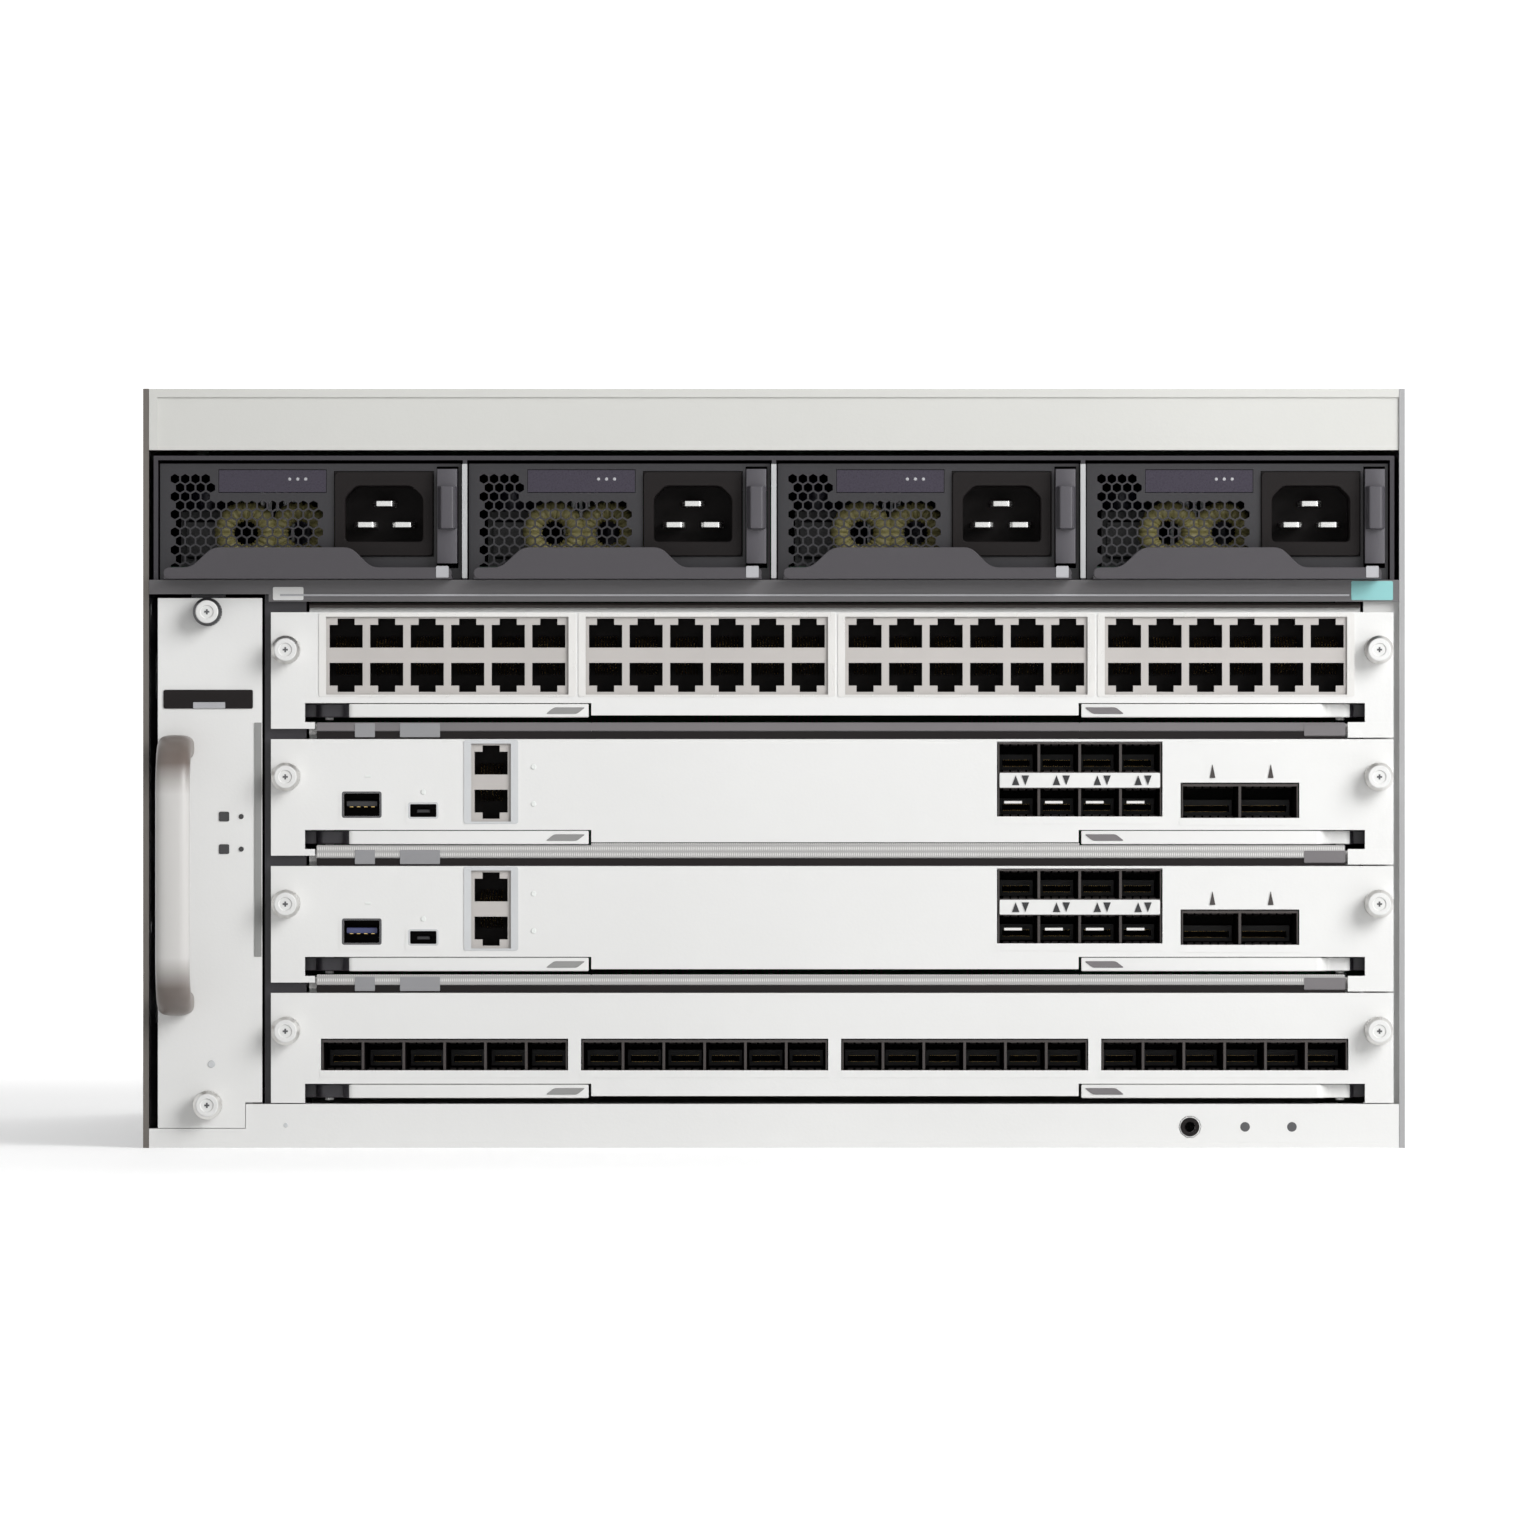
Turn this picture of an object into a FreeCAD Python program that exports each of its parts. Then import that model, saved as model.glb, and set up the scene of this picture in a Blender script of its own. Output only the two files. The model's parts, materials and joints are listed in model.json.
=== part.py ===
import FreeCAD, Part
import os
import re
import Sketcher
from FreeCAD import Vector

# A six-unit, four-slot modular chassis switch.  X runs to the right, Y to the rear, Z up.
# The origin is under the middle of the whole model, level with the surface it stands on.

os.makedirs("parts", exist_ok=True)
document = FreeCAD.newDocument("chassis_switch")

# ---------------------------------------------------------------- driving dimensions, in mm

SIZES = {
    # the chassis and its sheet metal
    "wide": 442, "tall": 266, "deep": 414, "handle_reach": 34,
    "wall": 1.5, "skin": 1.6, "hem": 2, "rear_flange": 10, "gap": 0.2,
    # side vents: pointed slots in rows
    "vent_long": 60, "vent_tall": 14, "vent_point": 7, "vent_step": 76, "vent_rise": 58,
    "vent_columns": 4, "vent_rows": 3, "vent_start": 50, "vent_low": 50,
    # two screw holes in each side for a rack bracket
    "bracket_back": 24, "bracket_rise": 112, "bracket_hole": 2.1,
    # rear panel
    "exhaust_left": 17, "exhaust_low": 8, "exhaust_wide": 11, "exhaust_tall": 26,
    "exhaust_step": 20, "exhaust_columns": 4,
    "lug_inset": 40, "lug_up": 30, "lug_hole": 3.2, "lug_apart": 15.9,
    # the plinth across the foot of the front
    "plinth_tall": 15.4, "plinth_lip": 12, "plinth_notch": 6.8, "notch_wide": 36,
    "strap_mid": 366.7, "strap_high": 7.4, "strap_round": 3.8, "strap_bore": 2, "strap_deep": 14,
    # the top bezel
    "bezel_low": 244.5, "bezel_thick": 2.4, "bezel_lip": 12, "bezel_rim": 3, "bezel_recess": 0.8,
    # card slots, counted from the top
    "slot_floor": 15.6, "slot_pitch": 44.45, "slot_count": 4,
    "card_wide": 393.2, "card_margin": 4, "card_top": 38.7, "card_low": 6.9,
    "tab_low": 0.2, "tab_left": 11.9, "tab_right": 10, "card_lip": 15, "fold": 1.2,
    "tongue_low": 2.6, "tongue_gap": 1,
    "gasket_tall": 5.4, "gasket_tall_top": 3.5, "gasket_back": 3, "gasket_deep": 6,
    "gasket_foot": 1.6, "gasket_foot_inset": 2,
    "board_low": 8.1, "board_thick": 1.6, "board_inset": 0.9, "board_end": 340,
    # card guides and the flanges that the card screws close on
    "fan_bay_wide": 42.5, "flange_back": 3.5, "flange_gap": 0.5, "groove_deep": 4.6,
    "groove_gap": 0.3, "guide_gap": 0.1, "guide_start": 18, "guide_under": 1.3, "guide_over": 2,
    "window_long": 140, "window_tall": 24, "window_step": 160, "window_start": 32,
    "window_low": 15.5, "window_columns": 2,
    "gasket_slope": 1, "nut_wide": 4.4,
    # sockets on the cards
    "jack_back": 0.8, "mouth_deep": 13, "jack_wide": 14.2, "jack_tall": 27.6, "jack_deep": 33,
    "jack_left": 6.4, "jack_group": 90.9,
    "cage_mouth_deep": 45, "mouth_wide": 11.6, "mouth_low": 1.1, "mouth_tall": 8, "mouth_key": 6,
    "mouth_notch": 2.2, "mouth_upper": 16.6,
    "cage_wide": 14.3, "cage_tall": 12.6, "cage_deep": 58, "cage_wall": 0.9, "cage_floor": 1.9,
    "cage_mouth_tall": 9.8, "fibre_left": 5.1, "fibre_group": 91.1,
    "stack_left": 254.7, "stack_tall": 27.8, "stack_upper": 17.5,
    "fast_left": 319, "fast_wide": 20.4, "fast_tall": 13.4, "fast_floor": 1.4,
    "console_left": 70, "usb_left": 24.6, "usb_wide": 14.4, "usb_tall": 11, "usb_up": 2,
    "mini_left": 47.8, "mini_wide": 11.1, "mini_up": 1.7, "mini_tall": 7.2, "mini_mouth_deep": 7,
    "port_deep": 16,
    "window_play": 0.4,
    # parts standing on the boards
    "sink_wide": 72, "sink_deep": 72, "sink_base": 3, "sink_tall": 18, "fin": 1.6,
    "fin_step": 14, "fin_count": 6, "sink_left": 130, "sink_back": 130, "sink_apart": 110,
    "plug_deep": 16, "plug_reach": 9,
    # captive screws and ejector levers
    "screw_inset": 5.4, "screw_up": 25.5, "screw_hole": 1.85, "shaft_round": 1.75,
    "head_round": 5, "head_long": 9, "head_flutes": 14,
    "shaft_long": 8,
    "lever_inset": 8.3, "lever_back": 8.5, "lever_low": 1, "lever_thick": 5.4,
    "lever_reach": 91, "lever_arm": 5, "lever_boss": 4.5, "arm_start": 7.4,
    "toe_long": 14, "toe_thick": 3.2, "pin_round": 1.5, "pin_bore": 1.58,
    # rear circuit board and its headers
    "board_room": 350, "backplane_thick": 3.2, "backplane_low": 12, "backplane_top": 243,
    "header_deep": 12, "header_wide": 70, "header_tall": 12, "plug_gap": 0.5, "plug_wall": 2,
    "header_left": 45, "header_right": 255,
    "tray_plug_left": 9, "tray_plug_low": 88, "tray_plug_tall": 26,
    # power supplies and their cage
    "supply_wide": 105.6, "supply_tall": 40.6, "supply_pitch": 108.3, "supply_low": 199.2,
    "supply_plug_left": 30, "supply_plug_low": 12, "supply_plug_wide": 46,
    "supply_back": 4, "supply_deep": 332, "supply_wall": 1, "supply_count": 4,
    "cell_gap": 0.6, "cell_tall": 42, "shelf_face": 7.6, "shelf_face_left": 5,
    "hex_pitch": 9.6, "hex_web": 1.8, "hex_left": 9.5, "hex_low": 6.8, "hex_columns": 4,
    "status_left": 6, "status_wide": 11, "status_low": 34.6, "status_tall": 3,
    "inlet_left": 61, "inlet_wide": 35, "inlet_low": 8, "inlet_tall": 30, "inlet_deep": 30,
    "inlet_proud": 1.5, "socket_margin": 3.6, "socket_rim": 5, "socket_deep": 19, "socket_corner": 4,
    "blade_wide": 8, "blade_thick": 2, "blade_long": 15, "blade_apart": 13.3, "blade_up": 7.4,
    "core_left": 3, "core_right": 94, "core_low": 3, "core_front": 6, "core_gap": 2,
    "can_across": 14, "can_back": 50, "can_round": 9, "can_tall": 30,
    "choke_back": 6, "choke_wide": 14, "choke_tall": 20, "choke_step": 20,
    "fin_left": 34, "fin_long": 180, "fin_tall": 28, "core_fin_step": 20, "core_fins": 3,
    "slot_left": 97, "slot_low": 4,
    "lip_forward": 14, "lip_left": 2, "lip_band": 4, "lip_tall": 11,
    "grip_low_left": 12.6, "grip_low_right": 72, "grip_left": 20, "grip_right": 66,
    "latch_thick": 1.2, "latch_low": 5.6, "latch_tall": 33, "latch_tab": 7,
    "latch_forward": 5, "latch_pivot_back": 44, "latch_eye": 2.8, "latch_play": 0.3,
    "thumb_low": 12, "thumb_tall": 15, "thumb_reach": 3.4, "thumb_slope": 1.6,
    # fan tray
    "tray_inset": 5.2, "tray_wide": 36.5, "tray_low": 7, "tray_tall": 185.6, "corner_wide": 5.9,
    "corner_tall": 9, "slab_inset": 3.3, "slab_thick": 30, "slab_low": 18.8, "slab_tall": 165.4,
    "slab_back": 7, "slab_deep": 329, "rib_wide": 6, "rib_low": 24, "rib_tall": 156,
    "fan_bore": 38.5, "fan_start": 50, "fan_step": 108, "fan_rise": 82, "fan_low": 60.5,
    "fan_columns": 3, "fan_rows": 2, "arm_thick": 3, "arm_wide": 5, "motor_round": 13,
    "axle_round": 2, "axle_bore": 2.06, "hub_round": 17, "hub_sides": 12, "hub_thick": 20,
    "hub_gap": 0.6, "blade_count": 7, "tip_round": 36, "fan_blade": 1.6, "blade_chord": 24,
    "blade_angle": 50,
    "tray_screw_across": 17.6, "tray_screw_low": 8.2, "tray_screw_high": 180.7,
    "screw_tab_wide": 12, "screw_tab_tall": 3, "rail_wide": 3, "rail_inset": 0.5,
    "bow_across": 6.8, "bow_wide": 12, "bow_low": 39.6, "bow_tall": 98, "bow_thick": 9,
    "bow_turn": 20,
}

sheet = document.addObject("Spreadsheet::Sheet", "Sizes")
for row, (alias, size) in enumerate(SIZES.items(), start=1):
    sheet.set(f"A{row}", alias)
    sheet.set(f"B{row}", str(size))
    sheet.setAlias(f"B{row}", alias)
document.recompute()

# Places that many pieces share, as formulas on the sheet's cells.
FRONT = "((handle_reach - deep) / 2)"
REAR = "((handle_reach + deep) / 2)"
INSIDE = "(wide / 2 - wall)"
OPENING = "(wide / 2 - hem - 0.1)"
FLANGE = f"({FRONT} + flange_back)"
CARD_RIGHT = "(wide / 2 - card_margin)"
CARD_LEFT = f"({CARD_RIGHT} - card_wide)"
BOARD_LEFT = f"({CARD_LEFT} + tab_left + board_inset)"
BOARD_RIGHT = f"({CARD_RIGHT} - tab_right - board_inset)"
BOARD_TOP = "(board_low + board_thick)"
BACKPLANE = f"({FRONT} + board_room)"
SHELF = "(supply_low - gap - wall)"
SUPPLY_LEFT = "(-(supply_pitch * (supply_count - 1) + supply_wide) / 2)"
SUPPLY_FRONT = f"({FRONT} + supply_back)"
SUPPLY_REAR = f"({SUPPLY_FRONT} + supply_deep)"
LATCH_PIVOT = "(supply_wide - supply_wall - latch_play - latch_eye)"
TRAY_LEFT = "(-wide / 2 + tray_inset)"
TRAY_RIGHT = f"({TRAY_LEFT} + tray_wide)"
SLAB_LEFT = f"({TRAY_LEFT} + slab_inset)"
SLAB_FRONT = f"({FRONT} + slab_back)"
TRAY_SCREW = f"({TRAY_LEFT} + tray_screw_across)"
FAN_FRONT = f"({SLAB_FRONT} + fan_start)"
BAY_WALL = "(-wide / 2 + fan_bay_wide)"

# Small round pins, eyes and ducts repeat many times over, so each has a few flat sides.
PIN_SIDES = 10
DUCT_SIDES = 20

# ---------------------------------------------------------------- helpers


def cells(formula):
    """A formula with each plain word turned into a reference to the sheet's cell."""
    return re.sub(r"[a-z][a-z_]*(?![a-z_(])", r"Sizes.\g<0>", str(formula))


def number(formula):
    """What a formula on the sheet comes to."""
    return float(sheet.evalExpression(cells(formula)))


def bind(thing, field, formula):
    """Tie one property of an object to the sheet."""
    thing.setExpression(field, cells(formula))


def place(thing, x="0", y="0", z="0"):
    """Put an object's own origin at a point of the chassis frame."""
    for axis, formula in zip("xyz", (x, y, z)):
        bind(thing, f"Placement.Base.{axis}", formula)
    return thing


def rectangle(left, low, right, high):
    """The four corners of an upright rectangle."""
    return [(left, low), (right, low), (right, high), (left, high)]


def nut_window(across, up):
    """A square hole for a floating nut, centred on a screw."""
    return rectangle(f"{across} - nut_wide / 2", f"{up} - nut_wide / 2",
                     f"{across} + nut_wide / 2", f"{up} + nut_wide / 2")


def regular(radius, count, across="0", up="0"):
    """Corners of a regular polygon with its corners on a circle."""
    turns = [360 * step / count for step in range(count)]
    return [(f"{across} + {radius} * cos({turn})", f"{up} + {radius} * sin({turn})") for turn in turns]


def pin(radius, across="0", up="0"):
    """A small round pin, faceted: its corners lie on the circle."""
    return regular(radius, PIN_SIDES, across, up)


def eye(radius, across="0", up="0", sides=PIN_SIDES):
    """A hole for a pin, faceted: its flats touch the circle, so the pin turns free in it."""
    return regular(f"({radius} / cos({180 / sides}))", sides, across, up)


class Piece:
    """One folded, turned or moulded piece: a PartDesign body made feature by feature.

    A level is a place along the axis that the sketch plane is square to, and every pad and
    pocket runs from its level towards the positive end of that axis.
    """

    PLANES = {"plan": "XY_Plane", "front": "XZ_Plane", "side": "YZ_Plane"}

    def __init__(self, name):
        self.name = name
        self.body = document.addObject("PartDesign::Body", name)
        self.body.Label = name

    def origin(self, role):
        """One of the body's own axes or planes."""
        return next(part for part in self.body.Origin.OriginFeatures if part.Role == role)

    def sketch(self, plane, level, outlines):
        """Closed outlines: corners for a polygon, or a centre and radius for a circle."""
        drawing = self.body.newObject("Sketcher::SketchObject", f"{self.name}_sketch")
        drawing.AttachmentSupport = [(self.origin(self.PLANES[plane]), "")]
        drawing.MapMode = "FlatFace"
        toward = "-" if plane == "front" else ""
        bind(drawing, "AttachmentOffset.Base.z", f"{toward}({level})")
        shapes, rules, formulas = [], [], []

        def fix(kind, shape, point, formula):
            rules.append(Sketcher.Constraint(kind, -1, 1, shape, point, number(formula)))
            formulas.append((len(rules) - 1, formula))

        for outline in outlines:
            first = len(shapes)
            if isinstance(outline, tuple):
                across, up, radius = outline
                middle = Vector(number(across), number(up), 0)
                shapes.append(Part.Circle(middle, Vector(0, 0, 1), number(radius)))
                fix("DistanceX", first, 3, across)
                fix("DistanceY", first, 3, up)
                rules.append(Sketcher.Constraint("Radius", first, number(radius)))
                formulas.append((len(rules) - 1, radius))
                continue
            corners = [Vector(number(across), number(up), 0) for across, up in outline]
            for turn, (across, up) in enumerate(outline):
                following = (turn + 1) % len(outline)
                shapes.append(Part.LineSegment(corners[turn], corners[following]))
                fix("DistanceX", first + turn, 1, across)
                fix("DistanceY", first + turn, 1, up)
                rules.append(Sketcher.Constraint("Coincident", first + turn, 2, first + following, 1))
        drawing.addGeometry(shapes, False)
        drawing.addConstraint(rules)
        for index, formula in formulas:
            bind(drawing, f"Constraints[{index}]", formula)
        return drawing

    def pad(self, plane, level, outlines, length):
        """Add a prism."""
        drawing = self.sketch(plane, level, outlines)
        feature = self.body.newObject("PartDesign::Pad", f"{self.name}_pad")
        feature.Profile = drawing
        feature.Reversed = plane == "front"
        bind(feature, "Length", length)
        return feature

    def pocket(self, plane, level, outlines, depth):
        """Cut a prism."""
        drawing = self.sketch(plane, level, outlines)
        feature = self.body.newObject("PartDesign::Pocket", f"{self.name}_pocket")
        feature.Profile = drawing
        feature.Reversed = plane != "front"
        bind(feature, "Length", depth)
        return feature

    def repeat(self, feature, axis, step, count, axis_two=None, step_two="0", count_two="1"):
        """Repeat a feature along one axis of the body, or along two."""
        pattern = self.body.newObject("PartDesign::LinearPattern", f"{self.name}_row")
        pattern.Originals = [feature]
        pattern.Direction = (self.origin(f"{axis}_Axis"), [""])
        bind(pattern, "Length", f"({step}) * ({count} - 1)")
        bind(pattern, "Occurrences", count)
        if axis_two:
            pattern.Direction2 = (self.origin(f"{axis_two}_Axis"), [""])
            bind(pattern, "Length2", f"({step_two}) * ({count_two} - 1)")
            bind(pattern, "Occurrences2", count_two)
        self.body.Tip = pattern
        return pattern

    def round_off(self, radius, chosen):
        """Round the edges of the solid so far that a test picks."""
        document.recompute()
        last = self.body.Tip
        names = [f"Edge{index}" for index, edge in enumerate(last.Shape.Edges, start=1) if chosen(edge)]
        feature = self.body.newObject("PartDesign::Fillet", f"{self.name}_round")
        feature.Base = (last, names)
        bind(feature, "Radius", radius)
        return feature


def runs_along(edge, axis):
    """Whether an edge is straight and parallel to an axis, 0 for X, 1 for Y, 2 for Z."""
    if not isinstance(edge.Curve, Part.Line):
        return False
    return abs(edge.tangentAt(edge.FirstParameter)[axis]) > 0.999


def block(name, corner, size):
    """A box from its lowest corner and its three lengths."""
    solid = document.addObject("Part::Box", name)
    for field, formula in zip(("Length", "Width", "Height"), size):
        bind(solid, field, formula)
    return place(solid, *corner)


def group(name, members):
    """Separate solids that belong to one sub-part."""
    whole = document.addObject("Part::Compound", name)
    whole.Label = name
    whole.Links = members
    return whole


# ---------------------------------------------------------------- chassis


def make_base_pan():
    """Floor, plinth folded up across the front, two tray rails and the wrist-strap jack."""
    pan = Piece("base_pan_sheet")
    floor = rectangle(f"-{INSIDE}", f"{FRONT} + wall", INSIDE, f"{REAR} - 2 * wall")
    pan.pad("plan", "0", [floor], "wall")
    back = f"{FRONT} + skin"
    plinth = [(FRONT, "0"), (f"{back} + wall", "0"), (f"{back} + wall", "wall"), (back, "wall"),
              (back, "plinth_tall - wall"), (f"{back} + plinth_lip", "plinth_tall - wall"),
              (f"{back} + plinth_lip", "plinth_tall"), (FRONT, "plinth_tall")]
    pan.pad("side", f"-{OPENING}", [plinth], f"2 * {OPENING}")
    notch_right = "-wide / 2 + notch_wide"
    notch = rectangle("-wide / 2", "plinth_notch", notch_right, "plinth_tall + wall")
    pan.pocket("front", f"{FRONT} - wall", [notch], "plinth_lip + 2 * wall + skin")
    jack = eye("strap_round", "-wide / 2 + strap_mid", "strap_high")
    pan.pocket("front", f"{FRONT} - wall", [jack], "wall + skin + gap")
    tab = rectangle(f"{TRAY_SCREW} - screw_tab_wide / 2", "wall / 2",
                    f"{TRAY_SCREW} + screw_tab_wide / 2", "tray_low + tray_screw_low + screw_tab_tall")
    pan.pad("front", FLANGE, [tab], "wall")
    pan.pocket("front", FLANGE, [nut_window(TRAY_SCREW, "tray_low + tray_screw_low")], "wall")
    slab_right = f"({SLAB_LEFT} + slab_thick)"
    rails = [rectangle(f"{SLAB_LEFT} + rail_inset", SLAB_FRONT,
                       f"{SLAB_LEFT} + rail_inset + rail_wide", BACKPLANE),
             rectangle(f"{slab_right} - rail_inset - rail_wide", SLAB_FRONT,
                       f"{slab_right} - rail_inset", BACKPLANE)]
    pan.pad("plan", "wall / 2", rails, "slab_low - gap - wall / 2")

    sleeve = Piece("wrist_strap_jack")
    sleeve.pad("front", FRONT, [pin("strap_round")], "strap_deep")
    sleeve.pocket("front", FRONT, [("0", "0", "strap_bore")], "strap_deep - wall")
    place(sleeve.body, "-wide / 2 + strap_mid", "0", "strap_high")
    return group("base_pan", [pan.body, sleeve.body])


def make_side_panel(name, side):
    """Outer wall with a hem at the front and a flange at the rear, cut by rows of vents."""
    panel = Piece(name)
    outer = f"{side} * wide / 2"
    inner = f"{side} * {INSIDE}"
    hem = f"{side} * (wide / 2 - hem)"
    flange = f"{side} * (wide / 2 - rear_flange)"
    plan = [(outer, FRONT), (hem, FRONT), (hem, f"{FRONT} + wall"), (inner, f"{FRONT} + wall"),
            (inner, f"{REAR} - 2 * wall"), (flange, f"{REAR} - 2 * wall"),
            (flange, f"{REAR} - wall"), (outer, f"{REAR} - wall")]
    panel.pad("plan", "0", [plan], "tall")
    start = f"({FRONT} + vent_start)"
    vent = [(start, "vent_low"), (f"{start} + vent_point", "vent_low - vent_tall / 2"),
            (f"{start} + vent_long - vent_point", "vent_low - vent_tall / 2"),
            (f"{start} + vent_long", "vent_low"),
            (f"{start} + vent_long - vent_point", "vent_low + vent_tall / 2"),
            (f"{start} + vent_point", "vent_low + vent_tall / 2")]
    level = "-wide / 2 - wall" if side < 0 else f"{INSIDE} - wall"
    cut = panel.pocket("side", level, [vent], "3 * wall")
    panel.repeat(cut, "Y", "vent_step", "vent_columns", "Z", "vent_rise", "vent_rows")
    holes = [(f"{FRONT} + bracket_back", f"tall / 2 {up} bracket_rise / 2", "bracket_hole")
             for up in ("-", "+")]
    panel.pocket("side", level, holes, "3 * wall")
    return panel.body


def make_top_cover():
    """Flat lid between the side panels, with a flange down inside the rear panel."""
    cover = Piece("top_cover")
    start = f"{FRONT} + bezel_thick"
    end = f"{REAR} - wall"
    profile = [(start, "tall - wall"), (f"{end} - wall", "tall - wall"),
               (f"{end} - wall", "tall - rear_flange"), (end, "tall - rear_flange"),
               (end, "tall"), (start, "tall")]
    cover.pad("side", f"-{INSIDE}", [profile], f"2 * {INSIDE}")
    corners = [rectangle(f"{side} * {INSIDE}", f"{REAR} - 2 * wall",
                         f"{side} * (wide / 2 - rear_flange)", REAR) for side in (-1, 1)]
    cover.pocket("plan", "tall - rear_flange - wall", corners, "rear_flange + 2 * wall")
    return cover.body


def make_rear_panel():
    """Closing plate with an exhaust grid behind each supply and two earth-lug holes."""
    panel = Piece("rear_panel")
    panel.pad("front", f"{REAR} - wall", [rectangle("-wide / 2", "0", "wide / 2", "tall")], "wall")
    left = f"({SUPPLY_LEFT} + exhaust_left)"
    low = "(supply_low + exhaust_low)"
    slot = rectangle(left, low, f"{left} + exhaust_wide", f"{low} + exhaust_tall")
    cut = panel.pocket("front", f"{REAR} - 2 * wall", [slot], "3 * wall")
    panel.repeat(cut, "X", "exhaust_step", "exhaust_columns", "X", "supply_pitch", "supply_count")
    lug = [("wide / 2 - lug_inset", "lug_up", "lug_hole"),
           ("wide / 2 - lug_inset + lug_apart", "lug_up", "lug_hole")]
    panel.pocket("front", f"{REAR} - 2 * wall", lug, "3 * wall")
    return panel.body


def make_top_bezel():
    """Channel across the top of the front, with a shallow field sunk into its face."""
    bezel = Piece("top_bezel")
    back = f"{FRONT} + bezel_thick"
    end = f"{back} + bezel_lip"
    profile = [(FRONT, "bezel_low"), (end, "bezel_low"), (end, "bezel_low + wall"),
               (back, "bezel_low + wall"), (back, "tall - 2 * wall"), (end, "tall - 2 * wall"),
               (end, "tall - wall"), (back, "tall - wall"), (back, "tall"), (FRONT, "tall")]
    bezel.pad("side", f"-{OPENING}", [profile], f"2 * {OPENING}")
    field = rectangle(f"-{OPENING} + bezel_rim", "bezel_low - wall", "wide / 2", "tall - bezel_rim")
    bezel.pocket("front", f"{FRONT} - wall", [field], "wall + bezel_recess")
    return bezel.body


def make_power_shelf():
    """Shelf, dividers and roof of the supply cage, with the shelf's face and a screw tab."""
    cage = Piece("power_shelf")
    side = f"({SUPPLY_LEFT} - cell_gap - wall)"
    roof = f"({SHELF} + wall + cell_tall + wall)"
    outline = [(f"-{INSIDE}", SHELF), (INSIDE, SHELF), (INSIDE, f"{SHELF} + wall"),
               (f"-{side}", f"{SHELF} + wall"), (f"-{side}", roof), (side, roof),
               (side, f"{SHELF} + wall"), (f"-{INSIDE}", f"{SHELF} + wall")]
    start = f"{FRONT} + skin"
    cage.pad("front", start, [outline], f"{BACKPLANE} - ({start})")
    left = f"({SUPPLY_LEFT} - cell_gap)"
    cell = rectangle(left, f"{SHELF} + wall", f"{left} + supply_wide + 2 * cell_gap", f"{roof} - wall")
    cut = cage.pocket("front", FRONT, [cell], f"{BACKPLANE} + wall - {FRONT}")
    cage.repeat(cut, "X", "supply_pitch", "supply_count")
    top = f"{SHELF} + wall"
    face = [(f"-{OPENING}", f"{top} - shelf_face_left"),
            (f"{BAY_WALL} + wall", f"{top} - shelf_face_left"),
            (f"{BAY_WALL} + wall", f"{top} - shelf_face"), (OPENING, f"{top} - shelf_face"),
            (OPENING, top), (f"-{OPENING}", top)]
    cage.pad("front", FRONT, [face], "skin")
    screw = "(tray_low + tray_screw_high)"
    tab = rectangle(f"{TRAY_SCREW} - screw_tab_wide / 2", f"{screw} - screw_tab_tall",
                    f"{TRAY_SCREW} + screw_tab_wide / 2", f"{SHELF} + wall / 2")
    cage.pad("front", FLANGE, [tab], "wall")
    cage.pocket("front", FLANGE, [nut_window(TRAY_SCREW, screw)], "wall")
    return cage.body


def make_card_rail(name, side, wall_face, board_edge, screw):
    """Upright plate with a front flange for the card screws and one guide for each slot.

    The flange is open where the toe of each ejector lever swings.
    """
    rail = Piece(name)
    behind = f"{wall_face} + {side} * wall"
    low = "wall" if side < 0 else "plinth_tall"
    rail.pad("side", behind if side < 0 else wall_face,
             [rectangle(FLANGE, low, BACKPLANE, SHELF)], "wall")
    edge = f"{board_edge} + {side} * flange_gap"
    rail.pad("front", FLANGE, [rectangle(behind, "plinth_tall", edge, SHELF)], "wall")
    if side < 0:
        corner = rectangle(f"{behind} - wall", "0", f"{wall_face} + wall", "plinth_tall")
        rail.pocket("front", f"{FLANGE} - wall", [corner], "plinth_lip + wall")
    channel_low = "(slot_floor + board_low - guide_gap)"
    channel_high = f"({channel_low} + board_thick + 2 * guide_gap)"
    mouth = f"{board_edge} - {side} * groove_deep"
    floor = f"{board_edge} + {side} * groove_gap"
    section = [(wall_face, f"{channel_low} - guide_under"), (mouth, f"{channel_low} - guide_under"),
               (mouth, channel_low), (floor, channel_low), (floor, channel_high), (mouth, channel_high),
               (mouth, f"{channel_high} + guide_over"), (wall_face, f"{channel_high} + guide_over")]
    guide = rail.pad("front", f"{FRONT} + guide_start", [section], "board_room - guide_start")
    rail.repeat(guide, "Z", "slot_pitch", "slot_count")
    hole = rail.pocket("front", FLANGE, [nut_window(screw, "slot_floor + screw_up")], "wall")
    rail.repeat(hole, "Z", "slot_pitch", "slot_count")
    toe_way = rectangle(f"{wall_face} - {side} * wall", "slot_floor + lever_low - cell_gap",
                        f"{edge} - {side} * wall", "slot_floor + card_low")
    toe_hole = rail.pocket("front", f"{FLANGE} - wall", [toe_way], "3 * wall")
    rail.repeat(toe_hole, "Z", "slot_pitch", "slot_count")
    start = f"({FRONT} + window_start)"
    window = rectangle(start, "slot_floor + window_low", f"{start} + window_long",
                       "slot_floor + window_low + window_tall")
    level = f"{wall_face} + {side} * 2 * wall" if side < 0 else f"{wall_face} - wall"
    if side > 0:
        nuts = [nut_window(f"{FRONT} + bracket_back", f"tall / 2 {up} bracket_rise / 2")
                for up in ("-", "+")]
        rail.pocket("side", level, nuts, "3 * wall")
    air = rail.pocket("side", level, [window], "3 * wall")
    rail.repeat(air, "Y", "window_step", "window_columns", "Z", "slot_pitch", "slot_count")
    return rail.body


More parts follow.
